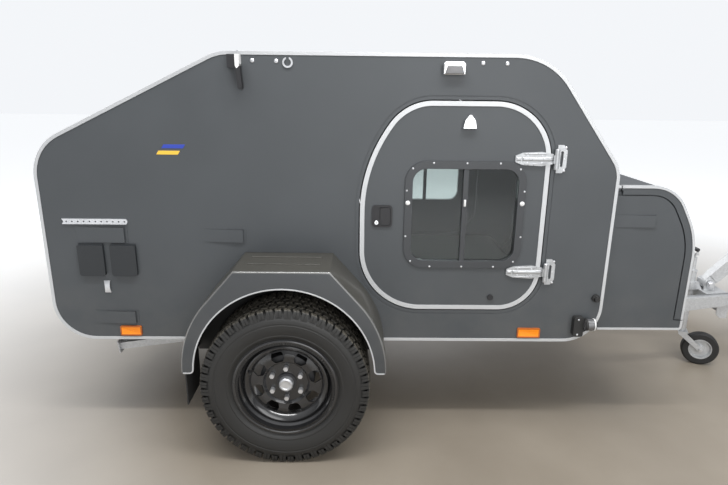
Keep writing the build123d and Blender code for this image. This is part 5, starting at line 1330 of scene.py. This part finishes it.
@dataclass
class StrapRibs:
    """Raised ribs, screws and pin caps of the door's strap hinges.

    Lengths along the trailer and out of the wall are in millimetres, the others in metres.

    Attributes:
        heights: Heights of the two hinges.
        proud: How far a strap's face stands out.
        ribs: Height off the hinge's middle, two ends, half width and rise of each rib.
        screws: Place along and height off the middle of each strap screw.
        pin: The pin's place, how far it stands out, and half its length.
        cap: Section of the cap on the pin's end.
        plate_ends: Place, distance out and height of the outer plate screws.
        plate_middle: Place and distance out of the middle one.
    """

    heights: Sequence[float] = (1.306, 0.804)
    proud: float = 9.0
    ribs: Sequence[tuple[float, float, float, float, float]] = (
        (0.0, 992.0, 1122.0, 0.010, 0.006),
        (-0.0215, 1000.0, 1096.0, 0.0035, 0.003),
        (0.0215, 1000.0, 1096.0, 0.0035, 0.003),
        (0.0, 968.0, 986.0, 0.009, 0.0035),
    )
    screws: Sequence[Point] = ((1014.0, -0.0145), (1014.0, 0.0145), (1076.0, -0.0145), (1076.0, 0.0145))
    pin: Spot = (1136.0, 16.0, 0.0405)
    cap: Sequence[Point] = ((-0.003, 0.0), (-0.003, 0.009), (0.0, 0.0098), (0.002, 0.008), (0.004, 0.0))
    plate_ends: Spot = (1174.0, 6.0, 0.049)
    plate_middle: Point = (1171.0, 3.0)

    def rib(self, shop: Shop, z: float, x0: float, x1: float, half: float, rise: float) -> Piece:
        """Model one long rib with a rounded crown."""
        y = shop.out(self.proud)
        piece = block("rib", (shop.x(x0), y - rise, z - half), (shop.x(x1), y + 0.001, z + half))
        scaled(piece, faces_out, (0.94, 1.0, 0.6))
        return ease(piece, min(rise, half) * 0.45, lambda m, _d: m.y < y - rise * 0.9, 2)

    def build(self, shop: Shop) -> None:
        """Model ribs, screws and pin caps of both doors."""
        ribs, screws, caps = [], [], []
        for z in self.heights:
            ribs += [self.rib(shop, z + up, *rest) for up, *rest in self.ribs]
            screws += [shop.spot(x, self.proud, z + up) for x, up in self.screws]
            for sign in (-1, 1):
                x, proud, up = self.pin
                pin_end = shop.spot(x, proud, z + sign * up)
                caps.append(turned("cap", self.cap, pin_end, "Z", 24, closed=False))
                x, proud, up = self.plate_ends
                caps.append(DomeScrew(0.005, 0.003).build(shop.spot(x, proud, z + sign * up)))
            caps.append(DomeScrew(0.0056, 0.004).build(shop.spot(*self.plate_middle, z)))
        heads = DomeScrew(0.0042, 0.002).row("strap_screws_right", screws)
        shop.both(joined("strap_ribs_right", *ribs), "zinc_plate", "cast_alloy", DOORS)
        shop.both(heads, "zinc_plate", "bright_zinc", DOORS)
        shop.both(joined("hinge_caps_right", *caps), "zinc_plate", "bright_zinc")


@dataclass
class DoorLock:
    """Key cylinder with its slot, and the ribs of the cowl above the window.

    Attributes:
        key: The cylinder's place, in millimetres ahead of the wheels and metres above the ground.
        cylinder: Its section.
        slot: Half width and half height of its slot.
        cowl: Foot of the cowl's middle rib, the same way.
        ribs: Height of each rib.
        pitch: Distance from rib to rib.
        half: Half a rib's width.
        lean: How far a rib's head leans in.
    """

    key: Point = (382.0, 1.024)
    cylinder: Sequence[Point] = (
        (0.0, 0.0), (0.0, 0.0095), (-0.005, 0.0095), (-0.0065, 0.008), (-0.0065, 0.006), (-0.0055, 0.0)
    )
    slot: Point = (0.0008, 0.0045)
    cowl: Point = (762.0, 1.431)
    ribs: Sequence[float] = (0.028, 0.038, 0.044, 0.038, 0.028)
    pitch: float = 0.0082
    half: float = 0.0016
    lean: float = 0.006

    def build(self, shop: Shop) -> None:
        """Model both doors' pieces."""
        x, z = shop.x(self.key[0]), self.key[1]
        ring = turned("key_cylinder_right", self.cylinder, (x, shop.out(4.0), z), "Y", 32, closed=False)
        shop.both(ring, "zinc_plate", "chrome", DOORS)
        wide, tall = self.slot
        slot = block(
            "key_slot_right", (x - wide, shop.out(10.6), z - tall), (x + wide, shop.out(9.0), z + tall)
        )
        shop.both(ease(slot, 0.0003), "black_plastic", "black_plastic", DOORS)
        middle, foot = self.cowl
        ribs = []
        for index, height in enumerate(self.ribs):
            x = shop.x(middle) + (index - 2) * self.pitch
            rib = block(
                "rib", (x - self.half, shop.out(23.0), foot), (x + self.half, shop.out(12.0), foot + height)
            )
            ribs.append(ease(shifted(rib, faces_up, (0.0, self.lean, 0.0)), 0.0008))
        shop.both(joined("cowl_ribs_right", *ribs), "zinc_plate", "chrome", DOORS)


@dataclass
class LampGlass:
    """Lens under the porch lamp's case."""

    def build(self, shop: Shop) -> None:
        """Model both lamps' lenses."""
        low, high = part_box("porch_lamps")
        margin = 0.06 * (high.x - low.x)
        lens = block(
            "porch_lens_right",
            (low.x + margin, low.y - 0.0015, low.z + 0.003),
            (high.x - margin, low.y + 0.02, high.z - 0.016),
        )
        ease(scaled(lens, faces_up, (0.74, 1.0, 1.0)), 0.004, segments=3)
        shop.both(lens, "clear_plastic", "smoked_lens")


@dataclass
class Stripes:
    """Two slanted colour stripes on the wall.

    Attributes:
        rows: Rear end, front end, foot and head of a stripe in millimetres, with its finish.
        slant: How far a stripe's head leans forward.
    """

    rows: Sequence[tuple[float, float, float, float, str]] = (
        (-522.0, -422.0, 1335.0, 1351.0, "stripe_blue"),
        (-545.0, -445.0, 1309.0, 1325.0, "stripe_yellow"),
    )
    slant: float = 0.010

    def build(self, shop: Shop) -> None:
        """Model the stripes of both sides."""
        for x0, x1, z0, z1, finish in self.rows:
            end = (shop.x(x1) - self.slant, shop.out(0), z1 / 1000)
            strip = block(f"{finish}_right", shop.spot(x0, 0.9, z0 / 1000), end)
            shifted(strip, faces_up, (self.slant, 0.0, 0.0))
            ease(strip, 0.0003, lambda m, _d: m.y < shop.out(0.6), 1)
            shop.both(strip, "body_grey", finish)


@dataclass
class CurvedClip:
    """Bright bent clip under the outlet lids.

    Attributes:
        x: Its place ahead of the wheels in millimetres.
        z0: Height of its foot.
        z1: Height of its head.
        width: Its width.
        thick: Its thickness.
        waist: How much narrower it is in the middle, as a share.
        bow: How far its middle stands out.
        cuts: Cuts along it.
    """

    x: float = -813.0
    z0: float = 0.693
    z1: float = 0.749
    width: float = 0.028
    thick: float = 0.004
    waist: float = 0.22
    bow: float = 0.004
    cuts: int = 8

    def build(self, shop: Shop) -> None:
        """Model the clip on both sides."""
        x, y, half = shop.x(self.x), shop.out(0), self.width / 2
        clip = block("curved_clip_right", (x - half, y - self.thick, self.z0), (x + half, y, self.z1))
        with editing(clip, "SELECT") as mesh:
            bpy.ops.mesh.subdivide(number_cuts=self.cuts)
            for ring in range(self.cuts + 2):
                z = self.z0 + ring * (self.z1 - self.z0) / (self.cuts + 1)
                bulge = 1 - (2 * abs(ring / (self.cuts + 1) - 0.5)) ** 2
                for vert in mesh.verts:
                    vert.select_set(abs(vert.co.z - z) < 0.001)
                bpy.ops.transform.resize(value=(1 - self.waist * bulge, 1.0, 1.0))
                bpy.ops.transform.translate(value=(0.0, -self.bow * bulge, 0.0))
                bpy.ops.mesh.select_all(action="DESELECT")
        shop.both(tidy(clip), "zinc_plate", "bright_zinc")


@dataclass
class Reflectors:
    """Side reflectors: an amber face let into a darker border.

    Attributes:
        spots: Ends of each one, ahead of the wheels in millimetres.
        border: Width of the border.
        recess: How far the face is let in.
        corner: Radius of the corners.
    """

    spots: Sequence[Point] = ((-778.0, -681.0), (1039.0, 1145.0))
    border: float = 0.0065
    recess: float = 0.0015
    corner: float = 0.006

    def build(self, shop: Shop) -> None:
        """Model the reflectors of both sides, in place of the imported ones."""
        low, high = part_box("amber_lenses")
        pieces = []
        for x0, x1 in self.spots:
            piece = block("reflector", (shop.x(x0), low.y, low.z), shop.spot(x1, 0, high.z))
            ease(piece, self.corner, lambda _m, d: abs(d.y) > 0.9, 4)
            inset_and_push(piece, faces_out, self.border, (0.0, self.recess, 0.0))
            pieces.append(ease(piece, 0.0012, lambda m, d: m.y < low.y + 0.0005 and abs(d.y) < 0.5, 2))
        right = joined("reflectors", *pieces)
        shop.paint(right, "amber_rim", "amber_lens")
        for face in right.data.polygons:
            face.material_index = int(face.normal.y < -0.9 and face.center.y > low.y + self.recess * 0.8)
        both = joined("side_reflectors", right, flipped(right, "left_reflectors"))
        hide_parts("amber_lenses")
        shop.hand_in(both, "trailer_body", "amber_plastic")


@dataclass
class MarkerLamp:
    """White ring, rubber collar and foot screws of the side marker lamp.

    Attributes:
        ring: Section of the ring, with radii off the lens's.
        collar: Section of the collar, the same way.
        screws: Place ahead of the wheels and distance out of the screws in millimetres.
        heights: Their heights.
    """

    ring: Sequence[Point] = ((0.0, 0.0012), (0.005, 0.0012), (0.005, -0.004), (0.0, -0.004))
    collar: Sequence[Point] = ((0.0, 0.002), (0.010, 0.001), (0.010, -0.002), (0.0, -0.002))
    screws: Point = (1307.0, 30.0)
    heights: Sequence[float] = (0.512, 0.584)

    def build(self, shop: Shop) -> None:
        """Model both lamps' fittings."""
        low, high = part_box("marker_lenses")
        radius = (high.z - low.z) / 2
        for name, x, rows, slot, finish in (
            ("marker_ring_right", high.x - 0.0045, self.ring, "clear_plastic", "white_cap"),
            ("marker_collar_right", low.x + 0.0002, self.collar, "black_rubber", "black_rubber"),
        ):
            section = [(along, radius + out) for along, out in rows]
            piece = turned(name, section, (x, low.y + radius, (low.z + high.z) / 2), "X", 48)
            shop.both(piece, slot, finish)
        places = [shop.spot(*self.screws, z) for z in self.heights]
        heads = DomeScrew(0.0045, 0.003).row("marker_screws_right", places)
        shop.both(heads, "zinc_plate", "bright_zinc")


# ---------------------------------------------------------------- fenders


@dataclass
class FenderShells:
    """Folded fenders: outer face with its arch, wide sheet over the wheel, two long pads.

    Attributes:
        foot: Half length and height of a foot.
        swell: Point that the side's curve passes.
        knee: Where the curve ends and the straight slope begins.
        crown: Half length and height of the flat top.
        arch: Radius of the arch and height of its centre.
        curl: Radius of the arch's curl at a foot.
        sheet: Thickness.
        fold: Width of the rounded fold.
        pads: Distances of the pads from the outer face, their half length, half width and rise.
        liner: Height of the wall liner's foot and its thickness.
        facet: About the length of a facet along the outline.
    """

    foot: Point = (0.426, 0.440)
    swell: Point = (0.398, 0.605)
    knee: Point = (0.326, 0.733)
    crown: Point = (0.193, 0.884)
    arch: Point = (0.377, 0.435)
    curl: float = 0.015
    sheet: float = 0.005
    fold: float = 0.0065
    pads: tuple[tuple[float, float], float, float, float] = ((0.100, 0.200), 0.150, 0.009, 0.005)
    liner: Point = (0.420, 0.003)
    facet: float = 0.022

    def edge(self) -> list[Point]:
        """Outline from the rear foot over the top to the front foot."""
        (x0, z0), (x1, z1), (x2, z2) = self.foot, self.swell, self.knee
        a, b = 2 * (x1 - x0), 2 * (z1 - z0)
        c, d = 2 * (x2 - x0), 2 * (z2 - z0)
        e = x1**2 + z1**2 - x0**2 - z0**2
        f = x2**2 + z2**2 - x0**2 - z0**2
        centre = ((e * d - b * f) / (a * d - b * c), (a * f - e * c) / (a * d - b * c))
        radius = math.dist(centre, self.foot)
        start, end = (
            math.degrees(math.atan2(z - centre[1], x - centre[0])) for x, z in (self.foot, self.knee)
        )
        front = [*arc(centre, radius, start, end, 14), self.crown]
        return [*[(-x, z) for x, z in front], *reversed(front)]

    def mouth(self) -> list[Point]:
        """Arch from the rear foot to the front foot, curled at both."""
        radius, middle = self.arch
        low = self.foot[1]
        curl = arc((radius + self.curl, low + self.curl), self.curl, 270.0, 180.0, 4)
        rear = [(-x, z) for x, z in curl]
        lift = math.degrees(math.asin((low + self.curl - middle) / radius))
        return [*rear, *arc((0.0, middle), radius, 180.0 - lift, lift, 40), *reversed(curl)]

    def shell(self, shop: Shop, y: float, wall_y: float) -> Piece:
        """Bridge outline and arch, extrude the sheet to the wall, round the fold, thicken."""
        corners = self.edge()
        outer = []
        for here, there in zip(corners, corners[1:]):
            steps = max(1, round(math.dist(here, there) / self.facet))
            for step in range(steps):
                outer.append(tuple(a + (b - a) * step / steps for a, b in zip(here, there)))
        outer.append(corners[-1])
        inner = resampled(self.mouth(), len(outer))
        lines = [
            drawn(name, [Vector((shop.hub.x + x, y, z)) for x, z in path])
            for name, path in (("outline", outer), ("arch", inner))
        ]
        piece = joined("fender", *lines)
        count = len(outer)
        with editing(piece) as mesh:
            bpy.ops.mesh.select_mode(type="EDGE")
            bpy.ops.mesh.select_all(action="SELECT")
            bpy.ops.mesh.bridge_edge_loops()
            mesh.verts.ensure_lookup_table()
            rim = set(mesh.verts[:count])
            bpy.ops.mesh.select_all(action="DESELECT")
            for edge in mesh.edges:
                edge.select_set(edge.verts[0] in rim and edge.verts[1] in rim)
            bpy.ops.mesh.extrude_region_move(TRANSFORM_OT_translate={"value": (0.0, wall_y - y, 0.0)})
            bpy.ops.mesh.select_all(action="SELECT")
            bpy.ops.mesh.normals_make_consistent(inside=False)
            pick_edges(mesh, lambda m, d: abs(m.y - y) < 1e-5 and abs(d.y) < 0.1)
            for edge in mesh.edges:
                if edge.select:
                    normals = [abs(face.normal.y) for face in edge.link_faces]
                    edge.select_set(len(normals) == 2 and min(normals) < 0.1 and max(normals) > 0.9)
            bpy.ops.mesh.bevel(offset=self.fold, segments=4, affect="EDGES")
        face = max(piece.data.polygons, key=lambda item: abs(item.normal.y))
        if face.normal.y > 0:
            with editing(piece, "SELECT"):
                bpy.ops.mesh.flip_normals()
        shop.paint(piece, "anthracite_fender", "fender_fold", "fender_band", *["channel_black"] * 3)
        # Slot 1 paints the rounded fold lighter, a painted highlight; slot 2 gives the band over the top and
        # sides a brownish painted reflection on its dark coat; the solidified underside takes slots 3 to 5,
        # painted near black as painted shade.
        for face in piece.data.polygons:
            face.material_index = int(abs(face.normal.y) < 0.985) + int(abs(face.normal.y) < 0.1)
        wall = piece.modifiers.new("sheet", "SOLIDIFY")
        wall.thickness = self.sheet
        wall.offset = -1.0
        wall.use_even_offset = True
        wall.material_offset = 3
        return apply_all(piece)

    def build(self, shop: Shop) -> None:
        """Model both fenders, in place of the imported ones."""
        low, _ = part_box("fenders")
        y, wall_y = low.y, shop.out(0.5)
        parts = [self.shell(shop, y, wall_y)]
        distances, reach, half, rise = self.pads
        for distance in distances:
            pad = block(
                "pad",
                (shop.hub.x - reach, y + distance - half, self.crown[1] - 0.001),
                (shop.hub.x + reach, y + distance + half, self.crown[1] + rise),
            )
            ease(pad, 0.0022, lambda m, _d: m.z > self.crown[1] + rise * 0.9, 3)
            # the pads take the band's dark coat with its painted reflection
            shop.paint(pad, "fender_band")
            parts.append(pad)
        foot_z, thick = self.liner
        rim = [(-self.foot[0], foot_z), *self.edge(), (self.foot[0], foot_z)]
        liner = drawn("liner", [Vector((shop.hub.x + x, shop.out(3.5), z)) for x, z in rim])
        with editing(liner, "SELECT"):
            bpy.ops.mesh.edge_face_add()
            bpy.ops.mesh.extrude_region_move(TRANSFORM_OT_translate={"value": (0.0, -thick, 0.0)})
        tidy(liner)
        # the liner is painted near black, its own colour deepened to painted shade in the arch
        shop.paint(liner, "channel_black")
        right = joined("fender_right", *parts, liner)
        both = joined("fenders.folded", right, flipped(right, "fender_left"))
        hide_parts("fenders")
        shop.hand_in(both, "trailer_body", "body_grey", angle=30.0)


# ---------------------------------------------------------------- bed


@dataclass
class Mattress:
    """Padded mattress that a cloth simulation fills out.

    Attributes:
        fine_voxel: Size of a facet otherwise.
        shrink: How much smaller it starts on each side.
        pressure: Pressure inside.
        stiffness: Stiffness of the cloth, by kind.
        frames: Frames of the simulation.
        swell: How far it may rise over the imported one.
    """

    voxel: float = 0.014
    fine_voxel: float = 0.009
    shrink: float = 0.006
    pressure: float = 2.5
    stiffness: Sequence[tuple[str, float]] = (("tension", 40.0), ("compression", 40.0), ("bending", 8.0))
    frames: int = 12
    swell: float = 0.008

    def build(self, shop: Shop) -> None:
        """Model, fill and hand in the mattress."""
        low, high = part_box("mattress")
        inset = Vector((self.shrink,) * 3)
        low, high = low + inset, high - inset
        piece = block("mattress.padded", low, high)
        ease(piece, 0.035, lambda _m, d: abs(d.z) > 0.9, 5)
        ends = (low.z, high.z)
        ease(piece, 0.016, lambda m, d: abs(d.z) < 0.5 and min(abs(m.z - z) for z in ends) < 1e-4, 3)
        remesh = piece.modifiers.new("voxels", "REMESH")
        remesh.mode = "VOXEL"
        remesh.voxel_size = self.fine_voxel
        apply_all(piece)
        cloth = piece.modifiers.new("fill", "CLOTH")
        cloth.settings.use_pressure = True
        cloth.settings.uniform_pressure_force = self.pressure
        cloth.settings.effector_weights.gravity = 0.0
        for kind, value in self.stiffness:
            setattr(cloth.settings, f"{kind}_stiffness", value)
        scene = bpy.context.scene
        for number in range(1, self.frames + 1):
            scene.frame_set(number)
        apply_all(piece)
        scene.frame_set(1)
        self.hold(piece)
        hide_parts("mattress")
        shop.hand_in(piece, "trailer_body", "bed_fabric", "bed_cloth", 60.0)

    def hold(self, piece: Piece) -> None:
        """Press what swells past the bed's walls and floor back in."""
        low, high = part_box("mattress")
        high = high + Vector((0.0, 0.0, self.swell))
        for vert in piece.data.vertices:
            for axis in range(3):
                vert.co[axis] = min(max(vert.co[axis], low[axis]), high[axis])


# ---------------------------------------------------------------- tail and drawbar


@dataclass
class RearLamps:
    """Round lenses on the lamp clusters of the sill.

    Attributes:
        rows: Share of the cluster's width and radius of each round lens, with its finish and slot.
        cluster: Width of a cluster.
    """

    rows: Sequence[tuple[float, float, str, str]] = (
        (0.17, 0.029, "amber_lens", "amber_plastic"),
        (0.5, 0.033, "red_lens", "red_plastic"),
        (0.83, 0.029, "clear_lens", "clear_plastic"),
    )
    cluster: float = 0.22

    def build(self, shop: Shop) -> None:
        """Model both clusters' lenses, let into the case."""
        low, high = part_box("rear_lamps")
        for share, radius, finish, slot in self.rows:
            rim = [(0.0102, radius), (0.0006, radius), (0.0002, radius - 0.004), (0.0010, radius - 0.006)]
            section = [*rim, (0.0002, radius * 0.5), (0.0002, 0.0)]
            place = (low.x, low.y + share * self.cluster, (low.z + high.z) / 2)
            name = f"{finish.split('_')[0]}_tail_lens_right"
            shop.both(turned(name, section, place, "X", 48, closed=False), slot, finish)


@dataclass
class JockeyDress:
    """Ribbed grip and axle nuts of the jockey wheel.

    Attributes:
        swivel: Turn of the fork at rest.
        nut: Radius and height of a nut.
        nut_out: Distance of the nuts from the wheel's middle.
        ribs: Ribs of the grip.
        pitch: Distance from rib to rib.
    """

    swivel: float = -22.0
    nut: Point = (0.0115, 0.007)
    nut_out: float = 0.0395
    ribs: int = 6
    pitch: float = 0.006

    def nuts(self, shop: Shop) -> None:
        """Model the nuts on both ends of the axle."""
        low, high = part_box("jockey_wheel_centre")
        centre = (low + high) / 2
        turn = math.radians(self.swivel)
        across = Vector((-math.sin(turn), math.cos(turn), 0.0))
        nuts = []
        for sign in (-1, 1):
            nut = ease(rod("nut", centre, *self.nut, 6), 0.0012, lambda _m, _d: True, 1)
            rolled(nut, self.swivel, centre, "Z")
            nut.location = across * sign * self.nut_out
            nuts.append(settle(nut))
        piece = joined("jockey_axle_nuts", *nuts)
        shop.hand_in(piece, shop.homes["jockey_fork"], "zinc_plate", "bright_zinc")

    def build(self, shop: Shop) -> None:
        """Model the nuts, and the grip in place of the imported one."""
        self.nuts(shop)
        low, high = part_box("jockey_grip")
        radius = (high.z - low.z) / 2
        section = [(-0.023, 0.0), (-0.023, radius * 0.7), (-0.019, radius)]
        for index in range(self.ribs):
            start = -0.017 + index * self.pitch
            for step, share in ((0.0, 1.0), (0.0015, 0.88), (0.003, 0.88), (0.0045, 1.0)):
                section.append((start + step, radius * share))
        section += [(0.020, radius), (0.023, radius * 0.75), (0.023, 0.0)]
        grip = turned("jockey_grip.ribbed", section, (low + high) / 2, "Y", 32, closed=False)
        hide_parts("jockey_grip")
        shop.hand_in(grip, shop.homes["jockey_grip"], "black_plastic", "black_plastic", 40.0)


@dataclass
class DrawbarBolts:
    """Bolt heads of the arm's pins, and the plates in the legs' oval slots.

    Attributes:
        pivot: Lower pin, ahead of the wheels in millimetres and above the ground in metres.
        arm: Length of the arm.
        rise: Angle of the arm.
        pin_end: Distance of the pins' ends from the middle.
        head: Radius and height of a bolt head.
        slot_x: Middle of the oval slot, ahead of the wheels.
        slot_z: Its height above the ground.
        slot: Its length and height.
        plate: How far the plate's two faces lie in from the leg's face.
        rivets: Distance of the rivets from the slot's middle.
        leg: The leg's two ends, ahead of the wheels, with the distances of its face from the middle.
    """

    pivot: Point = (2361.0, 0.506)
    arm: float = 0.3
    rise: float = 46.0
    pin_end: float = 0.0503
    head: Point = (0.019, 0.010)
    slot_x: float = 2402.0
    slot_z: float = 0.4366
    slot: Point = (0.060, 0.024)
    plate: Point = (0.0012, 0.0035)
    rivets: float = 0.013
    leg: tuple[Point, Point] = ((-60.0, 0.585), (2450.0, 0.120))

    def bolt(self, centre: Vector, radius: float, rise: float) -> Piece:
        """Model a hexagon head with its washer, pointing to the right."""
        head = rod("head", centre + Vector((0, -rise / 2 - 0.002, 0)), radius, rise, 6)
        ease(head, radius * 0.09, lambda m, _d: m.y < centre.y - rise, 1)
        washer = rod("washer", centre + Vector((0, -0.001, 0)), radius * 1.25, 0.002, 28)
        ease(washer, 0.0005, lambda m, _d: m.y < centre.y - 0.0015, 1)
        return joined("bolt", head, washer)

    def build(self, shop: Shop) -> None:
        """Model the bolts and plates of both sides."""
        angle = math.radians(self.rise)
        lower = Vector((shop.x(self.pivot[0]), -self.pin_end, self.pivot[1]))
        upper = lower + Vector((self.arm * math.cos(angle), 0.0, self.arm * math.sin(angle)))
        for name, place, body in (
            ("lower_pin_head_right", lower, shop.homes["chassis_frame"]),
            ("upper_pin_head_right", upper, shop.homes["overrun_housing"]),
        ):
            head = self.bolt(place, *self.head)
            head.name = name
            shop.both(head, "zinc_plate", "bright_zinc", (body, body))
        self.slot_plate(shop)

    def slot_plate(self, shop: Shop) -> None:
        """Model the oval plate in the right leg's slot, with its two rivets."""
        (x0, y0), (x1, y1) = self.leg
        face_y = -(y0 + (self.slot_x - x0) / (x1 - x0) * (y1 - y0))
        length, height = self.slot
        x = shop.x(self.slot_x)
        plate = block(
            "slot_plate_right",
            (x - length / 2, face_y + self.plate[0], self.slot_z - height / 2),
            (x + length / 2, face_y + self.plate[1], self.slot_z + height / 2),
        )
        ease(plate, height / 2 - 0.0005, lambda _m, d: abs(d.y) > 0.9, 6)
        places = [(x + step, face_y + self.plate[0], self.slot_z) for step in (-self.rivets, self.rivets)]
        rivets = [DomeScrew(0.0035, 0.0015).build(place) for place in places]
        piece = joined("slot_plate_right", plate, *rivets)
        slant = math.degrees(math.atan2(y0 - y1, (x1 - x0) / 1000))
        rolled(piece, slant, (x, face_y, self.slot_z), "Z")
        shop.both(piece, "galvanised", "hot_zinc")


@dataclass
class HatchDress:
    """Turning handles of the hatch's latches.

    Attributes:
        x: Their place ahead of the wheels in millimetres.
        z: Their height.
        y: Their distance from the middle.
    """

    x: float = -1087.0
    z: float = 0.905
    y: float = 0.42

    def build(self, shop: Shop) -> None:
        """Model the handles of both latches."""
        x, z = shop.x(self.x), self.z
        handles = []
        for y in (-self.y, self.y):
            dish = block("dish", (x - 0.0002, y - 0.034, z - 0.034), (x + 0.008, y + 0.034, z + 0.034))
            ease(dish, 0.010, lambda _m, d: abs(d.x) > 0.9, 4)
            inset_and_push(dish, lambda _m, n: n.x < -0.9, 0.003, (0.0015, 0.0, 0.0))
            bar = block("bar", (x - 0.0015, y - 0.008, z - 0.026), (x + 0.006, y + 0.008, z + 0.026))
            handles += [dish, ease(bar, 0.002)]
        piece = joined("hatch_latch_handles", *handles)
        shop.hand_in(piece, shop.homes["hatch_fittings"], "black_plastic", "black_plastic")


# ---------------------------------------------------------------- order of work


PLAIN_SKINS: Sequence[tuple[str, str, dict[str, float]]] = (
    ("cast_alloy", "zinc_plate", {"door_hinge_plates": 0.0012}),
    ("bright_zinc", "zinc_plate", {"hatch_fittings": 0.0012}),
    ("grey_plastic", "black_plastic", {"socket_lids": 0.0022}),
    ("black_plastic", "black_plastic", {"coupling_levers": 0.0015, "plate_holder": 0.002}),
    ("black_rubber", "black_rubber", {"rubber_fittings": 0.002, "jockey_tyre": 0.002}),
    (
        "bright_edge", "bright_edge",
        {"edge_trims": 0.0008, "front_box_lid_trim": 0.0008, "door_trim_right": 0.001, "door_trim_left": 0.001},
    ),
    ("frame_plastic", "dark_plastic", {"window_frame_right": 0.0022, "window_frame_left": 0.0022}),
    ("smoked_lens", "clear_plastic", {"marker_lenses": 0.003}),
    ("red_lens", "red_plastic", {"rear_lamps": 0.003}),
    (
        "hot_zinc", "galvanised",
        {
            "chassis_frame": 0.0012, "drawbar_head_fittings": 0.0012, "tow_arm": 0.0015,
            "overrun_housing": 0.002, "jockey_tube": 0.0008, "jockey_fork": 0.0012,
            "jockey_wheel_centre": 0.0008,
        },
    ),
    ("anthracite_panel", "body_grey", {"front_box_lid": 0.0015, "front_box_tub": 0.0012}),
)


def skins(shop: Shop) -> Iterator[Skin]:
    """Every skin: those in one finish, and those with zones.

    Args:
        shop: The shop that measures the zones.

    Yields:
        The skins in the order of work.
    """
    for finish, slot, rows in PLAIN_SKINS:
        for node, width in rows.items():
            yield Skin(node, width, finish, slot)
    yield Skin("porch_lamps", 0.009, "chrome", "zinc_plate", segments=4)
    bracket = within((shop.x(-190.5), 0.7, 1.652), (shop.x(-171.5), 0.7675, 1.712))
    holder = within((shop.x(-232), 0.7, 1.55), (shop.x(-138), 0.79, 1.712))
    zones = ((bracket, "white_cap"), (holder, "black_plastic"))
    yield Skin("side_metalwork", 0.0008, "bright_zinc", "zinc_plate", zones)
    # painted shade: the cover's front end and inner faces are painted black as the shadowed mouth of the vent,
    # and its top faces dark grey as painted shade (vent_shade)
    mouth = (lambda m, n: n.x > 0.5 or n.y * math.copysign(1.0, m.y) < -0.3, "black_plastic")
    ledge = (lambda _m, n: n.z > 0.5, "vent_shade")
    yield Skin("vent_covers", 0.0004, "anthracite_panel", "body_grey", (mouth, ledge))
    straps = within((shop.x(930), 0.7, 0.7), (shop.x(1160), 0.79, 1.4))
    cowl = within((shop.x(730), 0.7, 1.42), (shop.x(795), 0.79, 1.49))
    nut_faces = within((-9, 0.9275, 0), (9, 2, 2))
    for side in SIDES:
        zones = ((straps, "cast_alloy"), (cowl, "chrome"))
        yield Skin(f"door_hardware_{side}", 0.001, "black_plastic", "zinc_plate", zones)
        zones = (
            (nut_faces, "bright_zinc"),
            (lambda m, n: abs(m.y) > 0.9165 and abs(n.y) < 0.9 and shop.from_hub(m) < 0.0315, "bright_zinc"),
        )
        yield Skin(f"hub_{side}", 0.0008, "cast_black", "dark_iron", zones)
        # painted shadow: the rim's flat seat inside the lip is painted near black to read as a deep channel
        seat_shade = (
            lambda m, n: abs(n.y) > 0.9 and 0.19 < shop.from_hub(m) < 0.2088 and abs(m.y) > 0.97,
            "channel_black",
        )
        yield Skin(f"rim_{side}", 0.0, "gloss_black", "black_steel", (seat_shade,), flat=0.0)


def main() -> None:
    """Build the scene in order."""
    logging.basicConfig(level=logging.INFO, format="%(name)s %(message)s")
    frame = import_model()
    low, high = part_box("tyre_right")
    paints = Paints((low + high) / 2)
    paints.mix()
    for finish, nodes in NODE_FINISHES.items():
        for node in nodes:
            for slot in frame["nodes"][node].material_slots:
                slot.material = paints[finish]
    LOG.info("finishes on %d nodes", len(frame["nodes"]))
    shop = Shop(frame, paints)
    for skin in skins(shop):
        skin.build(shop)
    for side in Side:
        Tyre().build(shop, side)
    works = (
        WheelFace(), RoofLineScrews(), WindowFittings(), StrapRibs(), DoorLock(), LampGlass(), Stripes(),
        CurvedClip(), Reflectors(), MarkerLamp(), FenderShells(), RearLamps(), JockeyDress(),
        DrawbarBolts(), HatchDress(), Mattress(),
    )
    for work in works:
        work.build(shop)
    LOG.info("%d pieces", shop.made)
    Studio().build()


if __name__ == "__main__":
    main()
